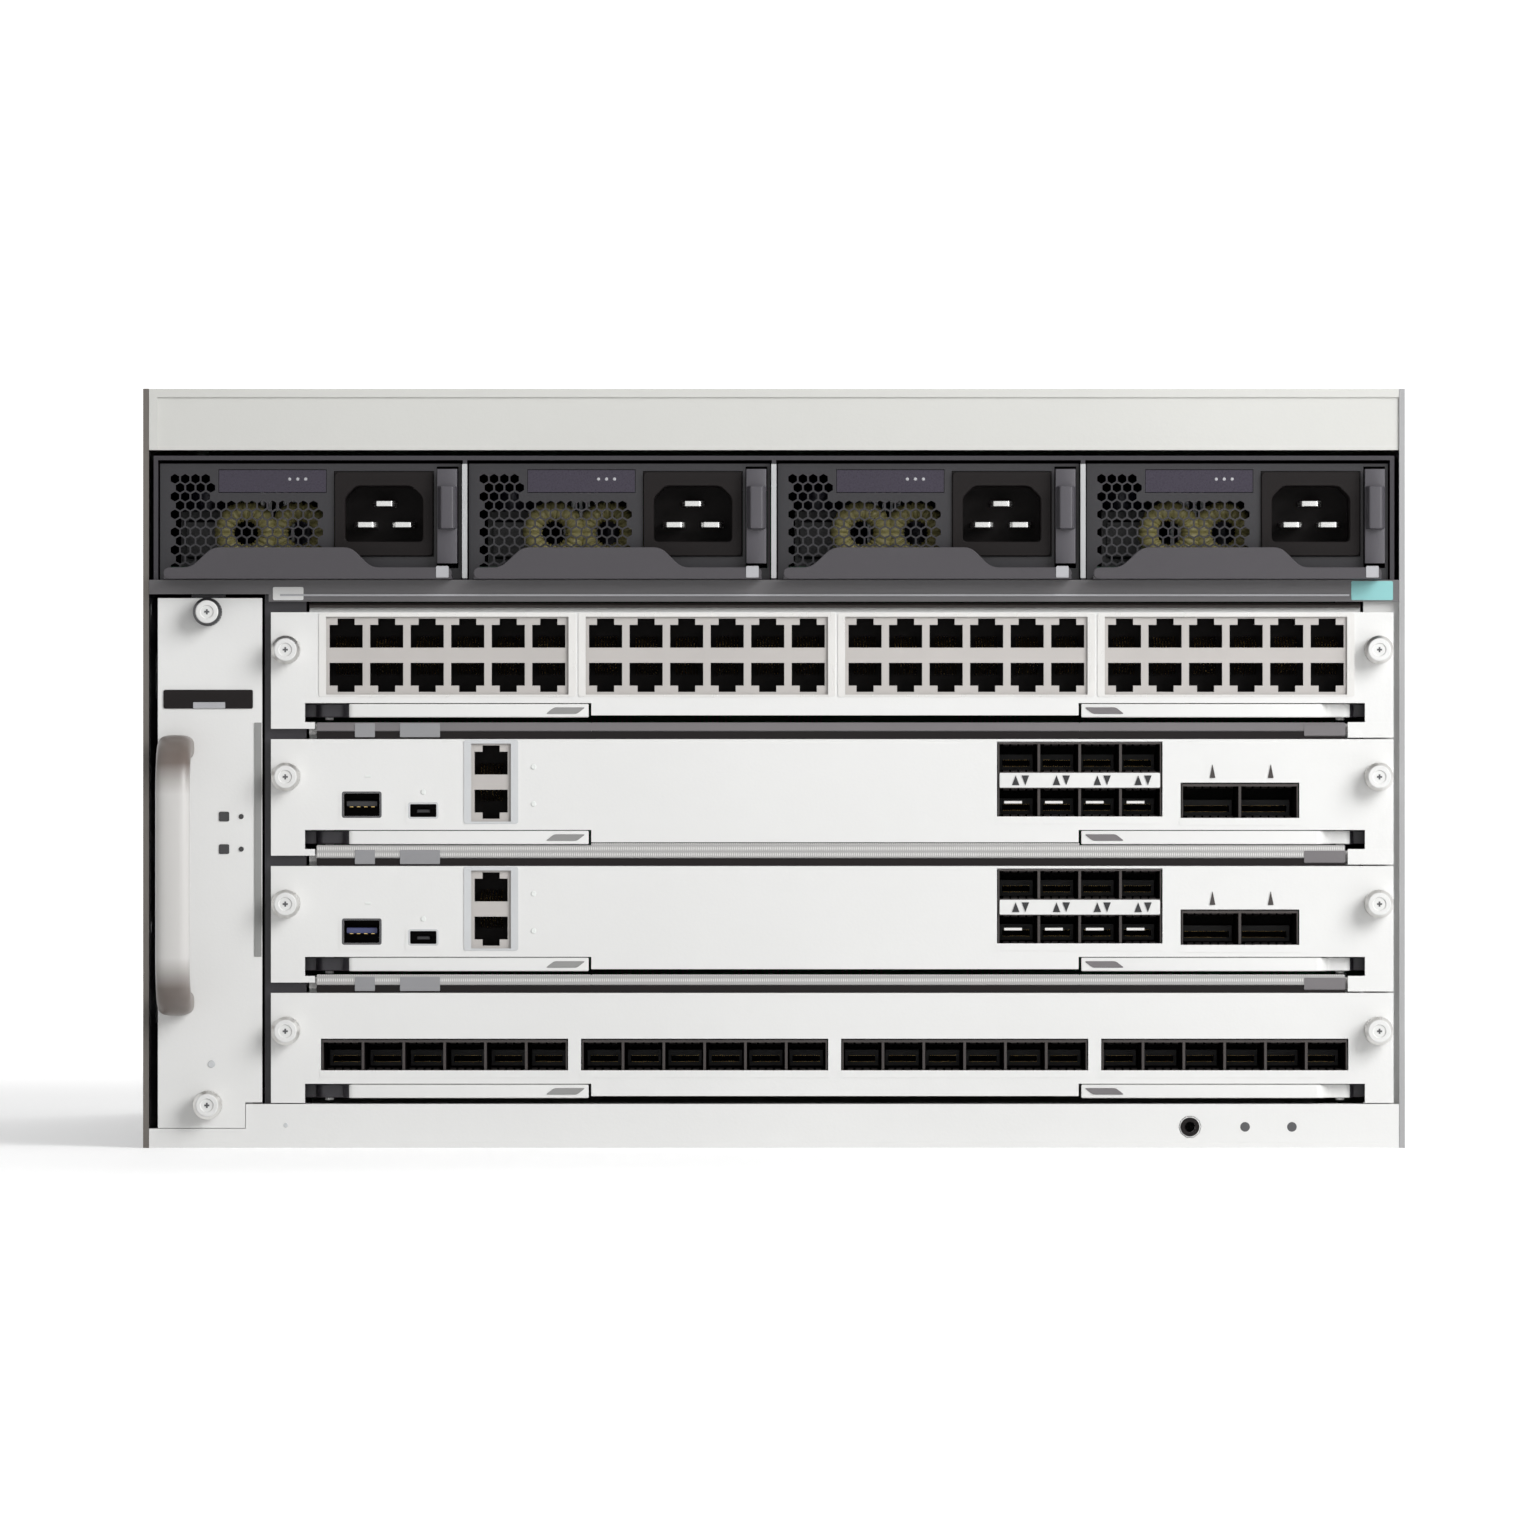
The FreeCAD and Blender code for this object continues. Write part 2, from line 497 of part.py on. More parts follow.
def make_backplane():
    """Rear circuit board with a socket shroud for every card plug, supply and the fan tray."""
    board = Piece("backplane")
    half = f"(-{SUPPLY_LEFT})"
    board.pad("front", BACKPLANE, [rectangle(f"-{half}", "backplane_low", half, "backplane_top")],
              "backplane_thick")

    def headers(left, low, wide, high, axis, step, count):
        """A row of shrouds, each a block hollowed from the front."""
        start = f"{BACKPLANE} - header_deep"
        outside = rectangle(left, low, f"{left} + {wide}", f"{low} + {high}")
        inside = rectangle(f"{left} + plug_wall", f"{low} + plug_wall",
                           f"{left} + {wide} - plug_wall", f"{low} + {high} - plug_wall")
        shroud = board.pad("front", start, [outside], "header_deep")
        board.repeat(shroud, axis, step, count)
        hollow = board.pocket("front", start, [inside], "header_deep - plug_wall")
        board.repeat(hollow, axis, step, count)

    card_low = f"(slot_floor + {BOARD_TOP})"
    for across in ("header_left", "header_right"):
        headers(f"({BOARD_LEFT} + {across})", card_low, "header_wide", "header_tall",
                "Z", "slot_pitch", "slot_count")
    headers(f"({SUPPLY_LEFT} + supply_plug_left)", "(supply_low + supply_plug_low)",
            "supply_plug_wide", "header_tall", "X", "supply_pitch", "supply_count")
    headers(f"({SLAB_LEFT} + tray_plug_left)", "tray_plug_low", "header_tall", "tray_plug_tall",
            "Z", "1", "1")
    return board.body


# ---------------------------------------------------------------- cards


def slot_base(slot):
    """Height of a slot's own zero; slot 1 is at the top."""
    return f"slot_floor + slot_pitch * (slot_count - {slot})"


def make_faceplate(name, slot, windows):
    """Card front: a folded channel with a tongue between the levers and a tab at each end.

    A gasket strip stands on its top flange, undercut at the foot, and the lever pins hang
    from the bottom one.  The top slot's strip is lower, to pass under the supply shelf.
    """
    plate = Piece(name)
    tab_left = f"({CARD_LEFT} + tab_left)"
    tab_right = f"({CARD_RIGHT} - tab_right)"
    tongue_left = f"({tab_left} + lever_inset + lever_reach + tongue_gap)"
    tongue_right = f"({tab_right} - lever_inset - lever_reach - tongue_gap)"
    outline = [(CARD_LEFT, "tab_low"), (tab_left, "tab_low"), (tab_left, "card_low"),
               (tongue_left, "card_low"), (tongue_left, "tongue_low"), (tongue_right, "tongue_low"),
               (tongue_right, "card_low"), (tab_right, "card_low"), (tab_right, "tab_low"),
               (CARD_RIGHT, "tab_low"), (CARD_RIGHT, "card_top"), (CARD_LEFT, "card_top")]
    plate.pad("front", FRONT, [outline], "skin")
    left = f"({BOARD_LEFT} + flange_gap)"
    right = f"({BOARD_RIGHT} - flange_gap)"
    flanges = [rectangle(left, "card_low", right, "card_low + fold"),
               rectangle(left, "card_top - fold", right, "card_top")]
    plate.pad("front", f"{FRONT} + skin / 2", flanges, "card_lip + skin / 2")
    near = f"({FRONT} + gasket_back)"
    far = f"({near} + gasket_deep)"
    foot = f"({near} + gasket_foot_inset)"
    under = "card_top + gasket_foot"
    crest = f"card_top + {'gasket_tall_top' if slot == 1 else 'gasket_tall'}"
    gasket = [(foot, "card_top - fold / 2"), (far, "card_top - fold / 2"),
              (far, f"{crest} - gasket_slope"), (f"{far} - gasket_slope", crest),
              (f"{near} + gasket_slope", crest), (near, f"{crest} - gasket_slope"),
              (near, under), (foot, under)]
    plate.pad("side", left, [gasket], f"{right} - {left}")
    if windows:
        plate.pocket("front", f"{FRONT} - wall", windows, "wall + skin + gap")
    screws = [eye("screw_hole", f"{CARD_LEFT} + screw_inset", "screw_up"),
              eye("screw_hole", f"{CARD_RIGHT} - screw_inset", "screw_up")]
    plate.pocket("front", FRONT, screws, "skin")
    pins = [pin("pin_round", f"{tab_left} + lever_inset", f"{FRONT} + lever_back"),
            pin("pin_round", f"{tab_right} - lever_inset", f"{FRONT} + lever_back")]
    plate.pad("plan", "lever_low", pins, "card_low - lever_low + fold / 2")
    place(plate.body, z=slot_base(slot))
    return plate.body


def make_lever(name, slot, side):
    """Ejector lever: a boss on its pin, a long arm to the middle and a short prying toe.

    The arm lies flush with the card's face and the boss is set back from it.
    """
    lever = Piece(name)
    arm_front = "-lever_back"
    arm_back = "(lever_arm - lever_back)"
    boss = "lever_boss"
    outline = [(f"{side} * {boss}", f"-{boss} / 2"), (f"{side} * {boss} / 2", f"-{boss}"),
               (f"-{side} * {boss}", f"-{boss}"), (f"-{side} * arm_start", arm_front),
               (f"-{side} * lever_reach", arm_front),
               (f"-{side} * (lever_reach - lever_arm)", arm_back), (f"-{side} * 2 * {boss}", arm_back),
               (f"-{side} * {boss}", f"{boss} / 2"), (f"-{side} * {boss} / 2", boss), ("0", boss),
               (f"{side} * (toe_long - toe_thick)", "toe_thick"), (f"{side} * toe_long", "0"),
               (f"{side} * (toe_long - toe_thick)", "-toe_thick / 2"),
               (f"{side} * {boss}", "-toe_thick / 2")]
    lever.pad("plan", "0", [outline], "lever_thick")
    lever.pocket("plan", "0", [eye("pin_bore")], "lever_thick")
    left = f"{CARD_LEFT} + tab_left + lever_inset"
    right = f"{CARD_RIGHT} - tab_right - lever_inset"
    place(lever.body, left if side < 0 else right, f"{FRONT} + lever_back",
          f"{slot_base(slot)} + lever_low")
    return lever.body


def make_thumb_screw(name, across, up):
    """Captive screw: a fluted head, and its shaft through panel and flange."""
    screw = Piece(name)
    flutes = regular("head_round", SIZES["head_flutes"])
    screw.pad("front", "-head_long", [flutes], "head_long - guide_gap")
    screw.pad("front", "-guide_gap * 2", [pin("shaft_round")], "shaft_long + guide_gap * 2")
    place(screw.body, across, FRONT, up)
    return screw.body


def make_sockets(name, left, columns, pitch, outlines, depth, size):
    """A ganged socket block on a board: one column of mouths, repeated across."""
    sockets = Piece(name)
    wide, high, deep = size
    sockets.pad("front", f"{FRONT} + jack_back", [rectangle("0", "0", wide, high)], deep)
    mouths = sockets.pocket("front", f"{FRONT} + jack_back", outlines, depth)
    if columns > 1:
        sockets.repeat(mouths, "X", pitch, str(columns))
    place(sockets.body, left, "0", BOARD_TOP)
    return sockets.body


def rj_mouth(left, low, upright):
    """Outline of a modular-jack mouth: a rectangle with a stepped notch for the plug's latch."""
    right = f"{left} + mouth_wide"
    middle = f"{left} + mouth_wide / 2"
    base = f"({low})" if upright else f"({low} + mouth_tall + mouth_notch)"
    sign = "+" if upright else "-"
    shoulder = f"{base} {sign} mouth_tall"
    crown = f"{base} {sign} (mouth_tall + mouth_notch)"
    return [(left, base), (right, base), (right, shoulder), (f"{middle} + mouth_key / 2", shoulder),
            (f"{middle} + mouth_key / 2", crown), (f"{middle} - mouth_key / 2", crown),
            (f"{middle} - mouth_key / 2", shoulder), (left, shoulder)]


JACK_MOUTHS = [rj_mouth("((jack_wide - mouth_wide) / 2)", "mouth_upper", True),
               rj_mouth("((jack_wide - mouth_wide) / 2)", "mouth_low", False)]
CAGE_LEFT = "cage_wall / 2"
CAGE_RIGHT = "cage_wide - cage_wall / 2"
CAGE_MOUTH = rectangle(CAGE_LEFT, "cage_floor", CAGE_RIGHT, "cage_floor + cage_mouth_tall")
STACK_MOUTHS = [CAGE_MOUTH, rectangle(CAGE_LEFT, "stack_upper", CAGE_RIGHT,
                                      "stack_upper + cage_mouth_tall")]
FAST_MOUTH = rectangle("cage_wall / 2", "fast_floor", "fast_wide - cage_wall / 2",
                       "fast_tall - cage_wall")


def window_for(left, wide, high):
    """Faceplate window round a socket block that stands on the board."""
    return rectangle(f"{left} - window_play", f"{BOARD_TOP} - window_play",
                     f"{left} + {wide} + window_play", f"{BOARD_TOP} + {high} + window_play")


def make_card_board(name, slot, sockets, sinks):
    """Circuit board with its sockets, finned heat sinks and two plugs for the backplane."""
    size = (f"{BOARD_RIGHT} - {BOARD_LEFT}", "board_end", "board_thick")
    members = [block(f"{name}_sheet", (BOARD_LEFT, f"{FRONT} + skin + gap", "board_low"), size)]
    members += sockets
    plug = ("header_wide - 2 * (plug_wall + plug_gap)", "plug_deep + plug_reach",
            "header_tall - 2 * (plug_wall + plug_gap)")
    for across in ("header_left", "header_right"):
        corner = (f"{BOARD_LEFT} + {across} + plug_wall + plug_gap",
                  f"{BACKPLANE} - header_deep - plug_deep", f"{BOARD_TOP} + plug_wall + plug_gap")
        foot_size = (plug[0], "plug_deep - plug_gap", "plug_wall + plug_gap")
        foot = block(f"{name}_foot", (corner[0], corner[1], BOARD_TOP), foot_size)
        tongue = block(f"{name}_tongue", corner, plug)
        joined = document.addObject("Part::Fuse", f"{name}_plug")
        joined.Base = foot
        joined.Tool = tongue
        members.append(joined)
    for count in range(sinks):
        sink = Piece(f"{name}_sink")
        sink.pad("plan", "0", [rectangle("0", "0", "sink_wide", "sink_deep")], "sink_base")
        fin = sink.pad("plan", "sink_base / 2", [rectangle("0", "0", "fin", "sink_deep")],
                       "sink_tall - sink_base / 2")
        sink.repeat(fin, "X", "fin_step", "fin_count")
        place(sink.body, f"{BOARD_LEFT} + sink_left + sink_apart * {count}", f"{FRONT} + sink_back",
              BOARD_TOP)
        members.append(sink.body)
    whole = group(name, members)
    place(whole, z=slot_base(slot))
    return whole


GROUPS = 4
COLUMNS = 6
STACKS = 4
WIDE_CAGES = 2


def copper_card(slot):
    """Forty-eight modular jacks in four ganged blocks."""
    sockets, windows = [], []
    for block_number in range(GROUPS):
        left = f"{BOARD_LEFT} + jack_left + jack_group * {block_number}"
        size = (f"jack_wide * {COLUMNS}", "jack_tall", "jack_deep")
        sockets.append(make_sockets(f"jacks_{slot}", left, COLUMNS, "jack_wide", JACK_MOUTHS,
                                    "mouth_deep", size))
        windows.append(window_for(left, size[0], size[1]))
    return sockets, windows


def fibre_card(slot):
    """Twenty-four pluggable-optic cages in four ganged rows."""
    sockets, windows = [], []
    for block_number in range(GROUPS):
        left = f"{BOARD_LEFT} + fibre_left + fibre_group * {block_number}"
        size = (f"cage_wide * {COLUMNS}", "cage_tall", "cage_deep")
        sockets.append(make_sockets(f"cages_{slot}", left, COLUMNS, "cage_wide", [CAGE_MOUTH],
                                    "cage_mouth_deep", size))
        windows.append(window_for(left, size[0], size[1]))
    return sockets, windows


def supervisor_card(slot):
    """Console ports on the left; stacked optic cages and two wide ones on the right."""
    usb = rectangle("cage_wall", "usb_up", "usb_wide - cage_wall", "usb_tall - cage_wall")
    mini = rectangle("cage_wall", "mini_up", "mini_wide - cage_wall", "mini_tall - cage_wall")
    stations = [
        ("usb_left", 1, "usb_wide", [usb], "mouth_deep", "usb_tall", "port_deep"),
        ("mini_left", 1, "mini_wide", [mini], "mini_mouth_deep", "mini_tall", "port_deep"),
        ("console_left", 1, "jack_wide", JACK_MOUTHS, "mouth_deep", "jack_tall", "jack_deep"),
        ("stack_left", STACKS, "cage_wide", STACK_MOUTHS, "cage_mouth_deep", "stack_tall", "cage_deep"),
        ("fast_left", WIDE_CAGES, "fast_wide", [FAST_MOUTH], "cage_mouth_deep", "fast_tall", "cage_deep"),
    ]
    sockets, windows = [], []
    for across, columns, pitch, mouths, mouth_depth, high, deep in stations:
        left = f"{CARD_LEFT} + {across}"
        size = (f"{pitch} * {columns}", high, deep)
        sockets.append(make_sockets(f"ports_{slot}", left, columns, pitch, mouths, mouth_depth, size))
        windows.append(window_for(left, size[0], size[1]))
    return sockets, windows


def make_card(name, slot, fill, sinks):
    """Faceplate, board, two ejector levers and two captive screws of one card."""
    sockets, windows = fill(slot)
    parts = [make_faceplate(f"{name}_faceplate", slot, windows),
             make_card_board(f"{name}_board", slot, sockets, sinks)]
    ends = (("left", -1, f"{CARD_LEFT} + screw_inset"), ("right", 1, f"{CARD_RIGHT} - screw_inset"))
    for end, side, across in ends:
        parts.append(make_lever(f"{name}_{end}_lever", slot, side))
        parts.append(make_thumb_screw(f"{name}_{end}_screw", across, f"{slot_base(slot)} + screw_up"))
    return parts


# ---------------------------------------------------------------- power supplies


def supply_left(bay):
    """Left side of a supply; bay 1 is on the left."""
    return f"{SUPPLY_LEFT} + supply_pitch * {bay - 1}"


def make_supply_case(name, bay):
    """Folded sleeve, open at the rear, with a honeycomb inlet grille and a pull lip in front."""
    case = Piece(name)
    case.pad("front", SUPPLY_FRONT, [rectangle("0", "0", "supply_wide", "supply_tall")], "supply_deep")
    inside = rectangle("supply_wall", "supply_wall", "supply_wide - supply_wall",
                       "supply_tall - supply_wall")
    case.pocket("front", f"{SUPPLY_FRONT} + supply_wall", [inside], "supply_deep")
    start = f"{SUPPLY_FRONT} - supply_wall"
    through = "3 * supply_wall"
    windows = [rectangle("inlet_left", "inlet_low", "inlet_left + inlet_wide", "inlet_low + inlet_tall"),
               rectangle("slot_left", "slot_low", "supply_wide - supply_wall", "supply_tall - supply_wall"),
               rectangle("status_left", "status_low", "status_left + status_wide",
                         "status_low + status_tall")]
    case.pocket("front", start, windows, through)

    flat = "((hex_pitch - hex_web) / 2)"
    point = f"({flat} * 2 / sqrt(3))"

    def hexagon(across, up):
        """A hexagon that stands on a point."""
        return [(f"{across} + {flat}", f"{up} - {point} / 2"),
                (f"{across} + {flat}", f"{up} + {point} / 2"), (across, f"{up} + {point}"),
                (f"{across} - {flat}", f"{up} + {point} / 2"),
                (f"{across} - {flat}", f"{up} - {point} / 2"), (across, f"{up} - {point}")]

    pair = [hexagon("hex_left", "hex_low"),
            hexagon("(hex_left + hex_pitch / 2)", "(hex_low + hex_pitch * sqrt(3) / 2)")]
    cut = case.pocket("front", start, pair, through)
    case.repeat(cut, "X", "hex_pitch", "hex_columns", "Z", "hex_pitch * sqrt(3)", "2")

    lip_front = f"{SUPPLY_FRONT} - lip_forward"
    right = "supply_wide - supply_wall - lip_left"
    web = rectangle("lip_left", "0", right, "supply_wall")
    case.pad("front", lip_front, [web], "lip_forward + supply_wall / 2")
    lip = [("lip_left", "0"), (right, "0"), (right, "lip_band"), ("grip_low_right", "lip_band"),
           ("grip_right", "lip_tall"), ("grip_left", "lip_tall"), ("grip_low_left", "lip_band"),
           ("lip_left", "lip_band")]
    case.pad("front", lip_front, [lip], "supply_wall")
    pivot = pin("pin_round", LATCH_PIVOT, f"{SUPPLY_FRONT} + latch_pivot_back")
    case.pad("plan", "supply_wall / 2", [pivot], "supply_tall - supply_wall")
    place(case.body, supply_left(bay), "0", "supply_low")
    return case.body


def make_supply_inlet(name, bay):
    """Mains socket: a moulded shell with a keyed well and three flat blades standing in it."""
    inlet = Piece(name)
    front = f"({SUPPLY_FRONT} - inlet_proud)"
    right = "(inlet_wide - gap)"
    high = "(inlet_tall - gap)"
    inlet.pad("front", front, [rectangle("gap", "gap", right, high)], "inlet_deep")
    inner_left = "(gap + socket_margin)"
    inner_right = f"({right} - socket_margin)"
    inner_low = "(gap + socket_rim)"
    inner_high = f"({high} - socket_rim)"
    socket = [(inner_left, inner_low), (inner_right, inner_low),
              (inner_right, f"{inner_high} - socket_corner"),
              (f"{inner_right} - socket_corner", inner_high), (f"{inner_left} + socket_corner", inner_high),
              (inner_left, f"{inner_high} - socket_corner")]
    inlet.pocket("front", front, [socket], "socket_deep")
    middle = "(inlet_wide / 2)"
    level = "(inlet_tall / 2 - blade_up / 2)"
    spots = [(f"{middle} - blade_apart / 2", level), (f"{middle} + blade_apart / 2", level),
             (middle, f"{level} + blade_up")]
    blades = [rectangle(f"{across} - blade_wide / 2", f"{up} - blade_thick / 2",
                        f"{across} + blade_wide / 2", f"{up} + blade_thick / 2") for across, up in spots]
    inlet.pad("front", f"{front} + socket_deep - blade_long", blades, "blade_long + supply_wall")
    place(inlet.body, f"{supply_left(bay)} + inlet_left", "0", "supply_low + inlet_low")
    return inlet.body


def make_supply_core(name, bay):
    """Circuit board with its choke, storage capacitor, transformer, heat sinks and rear plug."""
    core = Piece(name)
    middle = f"({SUPPLY_FRONT} + inlet_deep + core_gap)"
    core.pad("plan", "core_low", [rectangle("core_left", f"{SUPPLY_FRONT} + core_front",
                                            "inlet_left - core_gap", middle),
                                  rectangle("core_left", middle, "core_right", f"{SUPPLY_REAR} - core_gap")],
             "board_thick")
    on_board = "core_low + board_thick / 2"
    can = pin("can_round", "can_across", f"{SUPPLY_FRONT} + can_back")
    core.pad("plan", on_board, [can], "can_tall")
    blocks = [rectangle(f"{left}", f"{SUPPLY_FRONT} + core_front + {back}", f"{left} + choke_wide",
                        f"{SUPPLY_FRONT} + core_front + {back} + choke_wide")
              for left, back in (("core_left + can_round", "choke_back"),
                                 ("core_left + can_round + choke_step", "choke_back"))]
    core.pad("plan", on_board, blocks, "choke_tall")
    blade = rectangle("fin_left", middle, "fin_left + fin", f"{middle} + fin_long")
    fin = core.pad("plan", on_board, [blade], "fin_tall")
    core.repeat(fin, "X", "core_fin_step", "core_fins")
    wide = "(supply_plug_wide - 2 * (plug_wall + plug_gap))"
    plug_left = "(supply_plug_left + plug_wall + plug_gap)"
    plug_low = "(supply_plug_low + plug_wall + plug_gap)"
    plug_high = "(supply_plug_low + header_tall - plug_wall - plug_gap)"
    post = rectangle(plug_left, on_board, f"{plug_left} + {wide}", plug_high)
    core.pad("front", f"{SUPPLY_REAR} - plug_deep", [post], "plug_deep")
    tongue = rectangle(plug_left, plug_low, f"{plug_left} + {wide}", plug_high)
    core.pad("front", f"{SUPPLY_REAR} - wall", [tongue],
             f"{BACKPLANE} - ({SUPPLY_REAR} - wall) - plug_wall - plug_gap")
    place(core.body, supply_left(bay), "0", "supply_low")
    return core.body


def make_supply_latch(name, bay):
    """Release latch: an eye on its pin, a thin leaf forward and a thumb pad at the front."""
    latch = Piece(name)
    reach = "(latch_pivot_back + latch_forward)"
    tab = "(latch_eye - latch_tab)"
    inner = "(latch_eye - latch_thick)"
    outline = [("latch_eye", f"-{reach}"), ("latch_eye", "latch_eye / 2"),
               ("latch_eye / 2", "latch_eye"), ("-latch_eye / 2", "latch_eye"),
               ("-latch_eye", "latch_eye / 2"), ("-latch_eye", "-latch_eye / 2"),
               ("-latch_eye / 2", "-latch_eye"), (inner, "-latch_eye"),
               (inner, f"latch_thick - {reach}"), (tab, f"latch_thick - {reach}"), (tab, f"-{reach}")]
    latch.pad("plan", "0", [outline], "latch_tall")
    latch.pocket("plan", "0", [eye("pin_bore")], "latch_tall")
    thumb = [(tab, f"latch_thick / 2 - {reach}"), (f"{tab} + thumb_slope", f"-{reach} - thumb_reach"),
             ("latch_eye - thumb_slope", f"-{reach} - thumb_reach"),
             ("latch_eye", f"latch_thick / 2 - {reach}")]
    latch.pad("plan", "thumb_low", [thumb], "thumb_tall")
    place(latch.body, f"{supply_left(bay)} + {LATCH_PIVOT}", f"{SUPPLY_FRONT} + latch_pivot_back",
          "supply_low + latch_low")
    return latch.body


# ---------------------------------------------------------------- fan tray


def make_tray_frame():
    """Faceplate and the fan frames behind it: round ducts with a motor mount across each."""
    frame = Piece("fan_tray_frame")
    right = f"({TRAY_RIGHT} - corner_wide)"
    top = "tray_low + tray_tall"
    outline = [(TRAY_LEFT, "tray_low"), (right, "tray_low"), (right, "tray_low + corner_tall"),
               (TRAY_RIGHT, "tray_low + corner_tall"), (TRAY_RIGHT, top), (TRAY_LEFT, top)]
    frame.pad("front", FRONT, [outline], "skin")
    slab_right = f"({SLAB_LEFT} + slab_thick)"
    ribs = [rectangle(SLAB_LEFT, "rib_low", f"{SLAB_LEFT} + rib_wide", "rib_low + rib_tall"),
            rectangle(f"{slab_right} - rib_wide", "rib_low", slab_right, "rib_low + rib_tall")]
    frame.pad("front", f"{FRONT} + skin / 2", ribs, "slab_back")
    slab = rectangle(SLAB_LEFT, "slab_low", slab_right, "slab_low + slab_tall")
    frame.pad("front", SLAB_FRONT, [slab], "slab_deep")
    duct = frame.pocket("side", f"{SLAB_LEFT} - wall", [eye("fan_bore", FAN_FRONT, "fan_low", DUCT_SIDES)],
                        "slab_thick + 2 * wall")
    frame.repeat(duct, "Y", "fan_step", "fan_columns", "Z", "fan_rise", "fan_rows")
    arm = rectangle(f"{FAN_FRONT} - fan_bore - wall", "fan_low - arm_wide / 2",
                    f"{FAN_FRONT} + fan_bore + wall", "fan_low + arm_wide / 2")
    motor = rectangle(f"{FAN_FRONT} - motor_round", "fan_low - motor_round",
                      f"{FAN_FRONT} + motor_round", "fan_low + motor_round")
    for shape in (arm, motor):
        mount = frame.pad("side", SLAB_LEFT, [shape], "arm_thick")
        frame.repeat(mount, "Y", "fan_step", "fan_columns", "Z", "fan_rise", "fan_rows")
    bore = frame.pocket("side", f"{SLAB_LEFT} - wall", [eye("axle_bore", FAN_FRONT, "fan_low")],
                        "arm_thick + 2 * wall")
    frame.repeat(bore, "Y", "fan_step", "fan_columns", "Z", "fan_rise", "fan_rows")
    screws = [eye("screw_hole", TRAY_SCREW, f"tray_low + {up}")
              for up in ("tray_screw_low", "tray_screw_high")]
    frame.pocket("front", FRONT, screws, "skin")
    plug_left = f"({SLAB_LEFT} + tray_plug_left)"
    inset = "(plug_wall + plug_gap)"
    plug = rectangle(f"{plug_left} + {inset}", f"tray_plug_low + {inset}",
                     f"{plug_left} + header_tall - {inset}",
                     f"tray_plug_low + tray_plug_tall - {inset}")
    start = f"({SLAB_FRONT} + slab_deep - wall)"
    frame.pad("front", start, [plug], f"{BACKPLANE} - {start} - plug_wall - plug_gap")
    return frame.body


def make_tray_handle():
    """Bow handle: a flat bar bent out, along and back, with rounded corners and edges."""
    bow = Piece("fan_tray_handle")
    tip = f"{FRONT} - handle_reach"
    low = "(tray_low + bow_low)"
    high = f"({low} + bow_tall)"
    side = [(FRONT, low), (tip, low), (tip, high), (FRONT, high), (FRONT, f"{high} - bow_thick"),
            (f"{tip} + bow_thick", f"{high} - bow_thick"), (f"{tip} + bow_thick", f"{low} + bow_thick"),
            (FRONT, f"{low} + bow_thick")]
    bow.pad("side", f"{TRAY_LEFT} + bow_across - bow_wide / 2", [side], "bow_wide")

    def corner(edge, front, back):
        """An edge across the bar between two depths."""
        return runs_along(edge, 0) and number(front) < edge.CenterOfMass.y < number(back)

    bow.round_off("bow_turn", lambda edge: corner(edge, f"{tip} - 1", f"{tip} + 1"))
    bow.round_off("bow_turn - bow_thick", lambda edge: corner(edge, f"{tip} + bow_thick - 1",
                                                              f"{tip} + bow_thick + 1"))
    return bow.body


def make_fan_rotor(name, column, row):
    """Hub with an axle and a ring of slanted blades."""
    rotor = Piece(name)
    rotor.pad("side", "-hub_thick / 2", [regular("hub_round", SIZES["hub_sides"])], "hub_thick")
    rotor.pad("side", "-hub_thick / 2 - hub_gap - arm_thick", [pin("axle_round")],
              "hub_gap + arm_thick + wall")
    root = "hub_round - wall"
    blade = rotor.pad("plan", root, [blade_section()], f"tip_round - ({root})")
    ring = rotor.body.newObject("PartDesign::PolarPattern", f"{name}_blades")
    ring.Originals = [blade]
    ring.Axis = (rotor.origin("X_Axis"), [""])
    ring.Angle = 360
    bind(ring, "Occurrences", "blade_count")
    rotor.body.Tip = ring
    place(rotor.body, f"{SLAB_LEFT} + arm_thick + hub_gap + hub_thick / 2",
          f"{FAN_FRONT} + fan_step * {column}", f"fan_low + fan_rise * {row}")
    return rotor.body


def blade_section():
    """A thin slanted strip across a blade, at the blade's angle from the axle."""
    along = ("blade_chord / 2 * cos(blade_angle)", "blade_chord / 2 * sin(blade_angle)")
    square = ("fan_blade / 2 * sin(blade_angle)", "-fan_blade / 2 * cos(blade_angle)")
    signs = ((-1, -1), (1, -1), (1, 1), (-1, 1))
    return [(f"{one} * {along[0]} + {two} * {square[0]}", f"{one} * {along[1]} + {two} * {square[1]}")
            for one, two in signs]


# ---------------------------------------------------------------- the whole switch

parts = [make_base_pan(), make_side_panel("left_side_panel", -1), make_side_panel("right_side_panel", 1),
         make_top_cover(), make_rear_panel(), make_top_bezel(), make_power_shelf(),
         make_card_rail("fan_bay_wall", -1, f"({BAY_WALL} + wall)", BOARD_LEFT,
                        f"{CARD_LEFT} + screw_inset"),
         make_card_rail("right_card_guide", 1, f"({INSIDE} - wall)", BOARD_RIGHT,
                        f"{CARD_RIGHT} - screw_inset"),
         make_backplane()]
for bay in (1, 2, 3, 4):
    parts.append(make_supply_case(f"power_supply_{bay}_case", bay))
    parts.append(make_supply_inlet(f"power_supply_{bay}_inlet", bay))
    parts.append(make_supply_core(f"power_supply_{bay}_core", bay))
    parts.append(make_supply_latch(f"power_supply_{bay}_latch", bay))
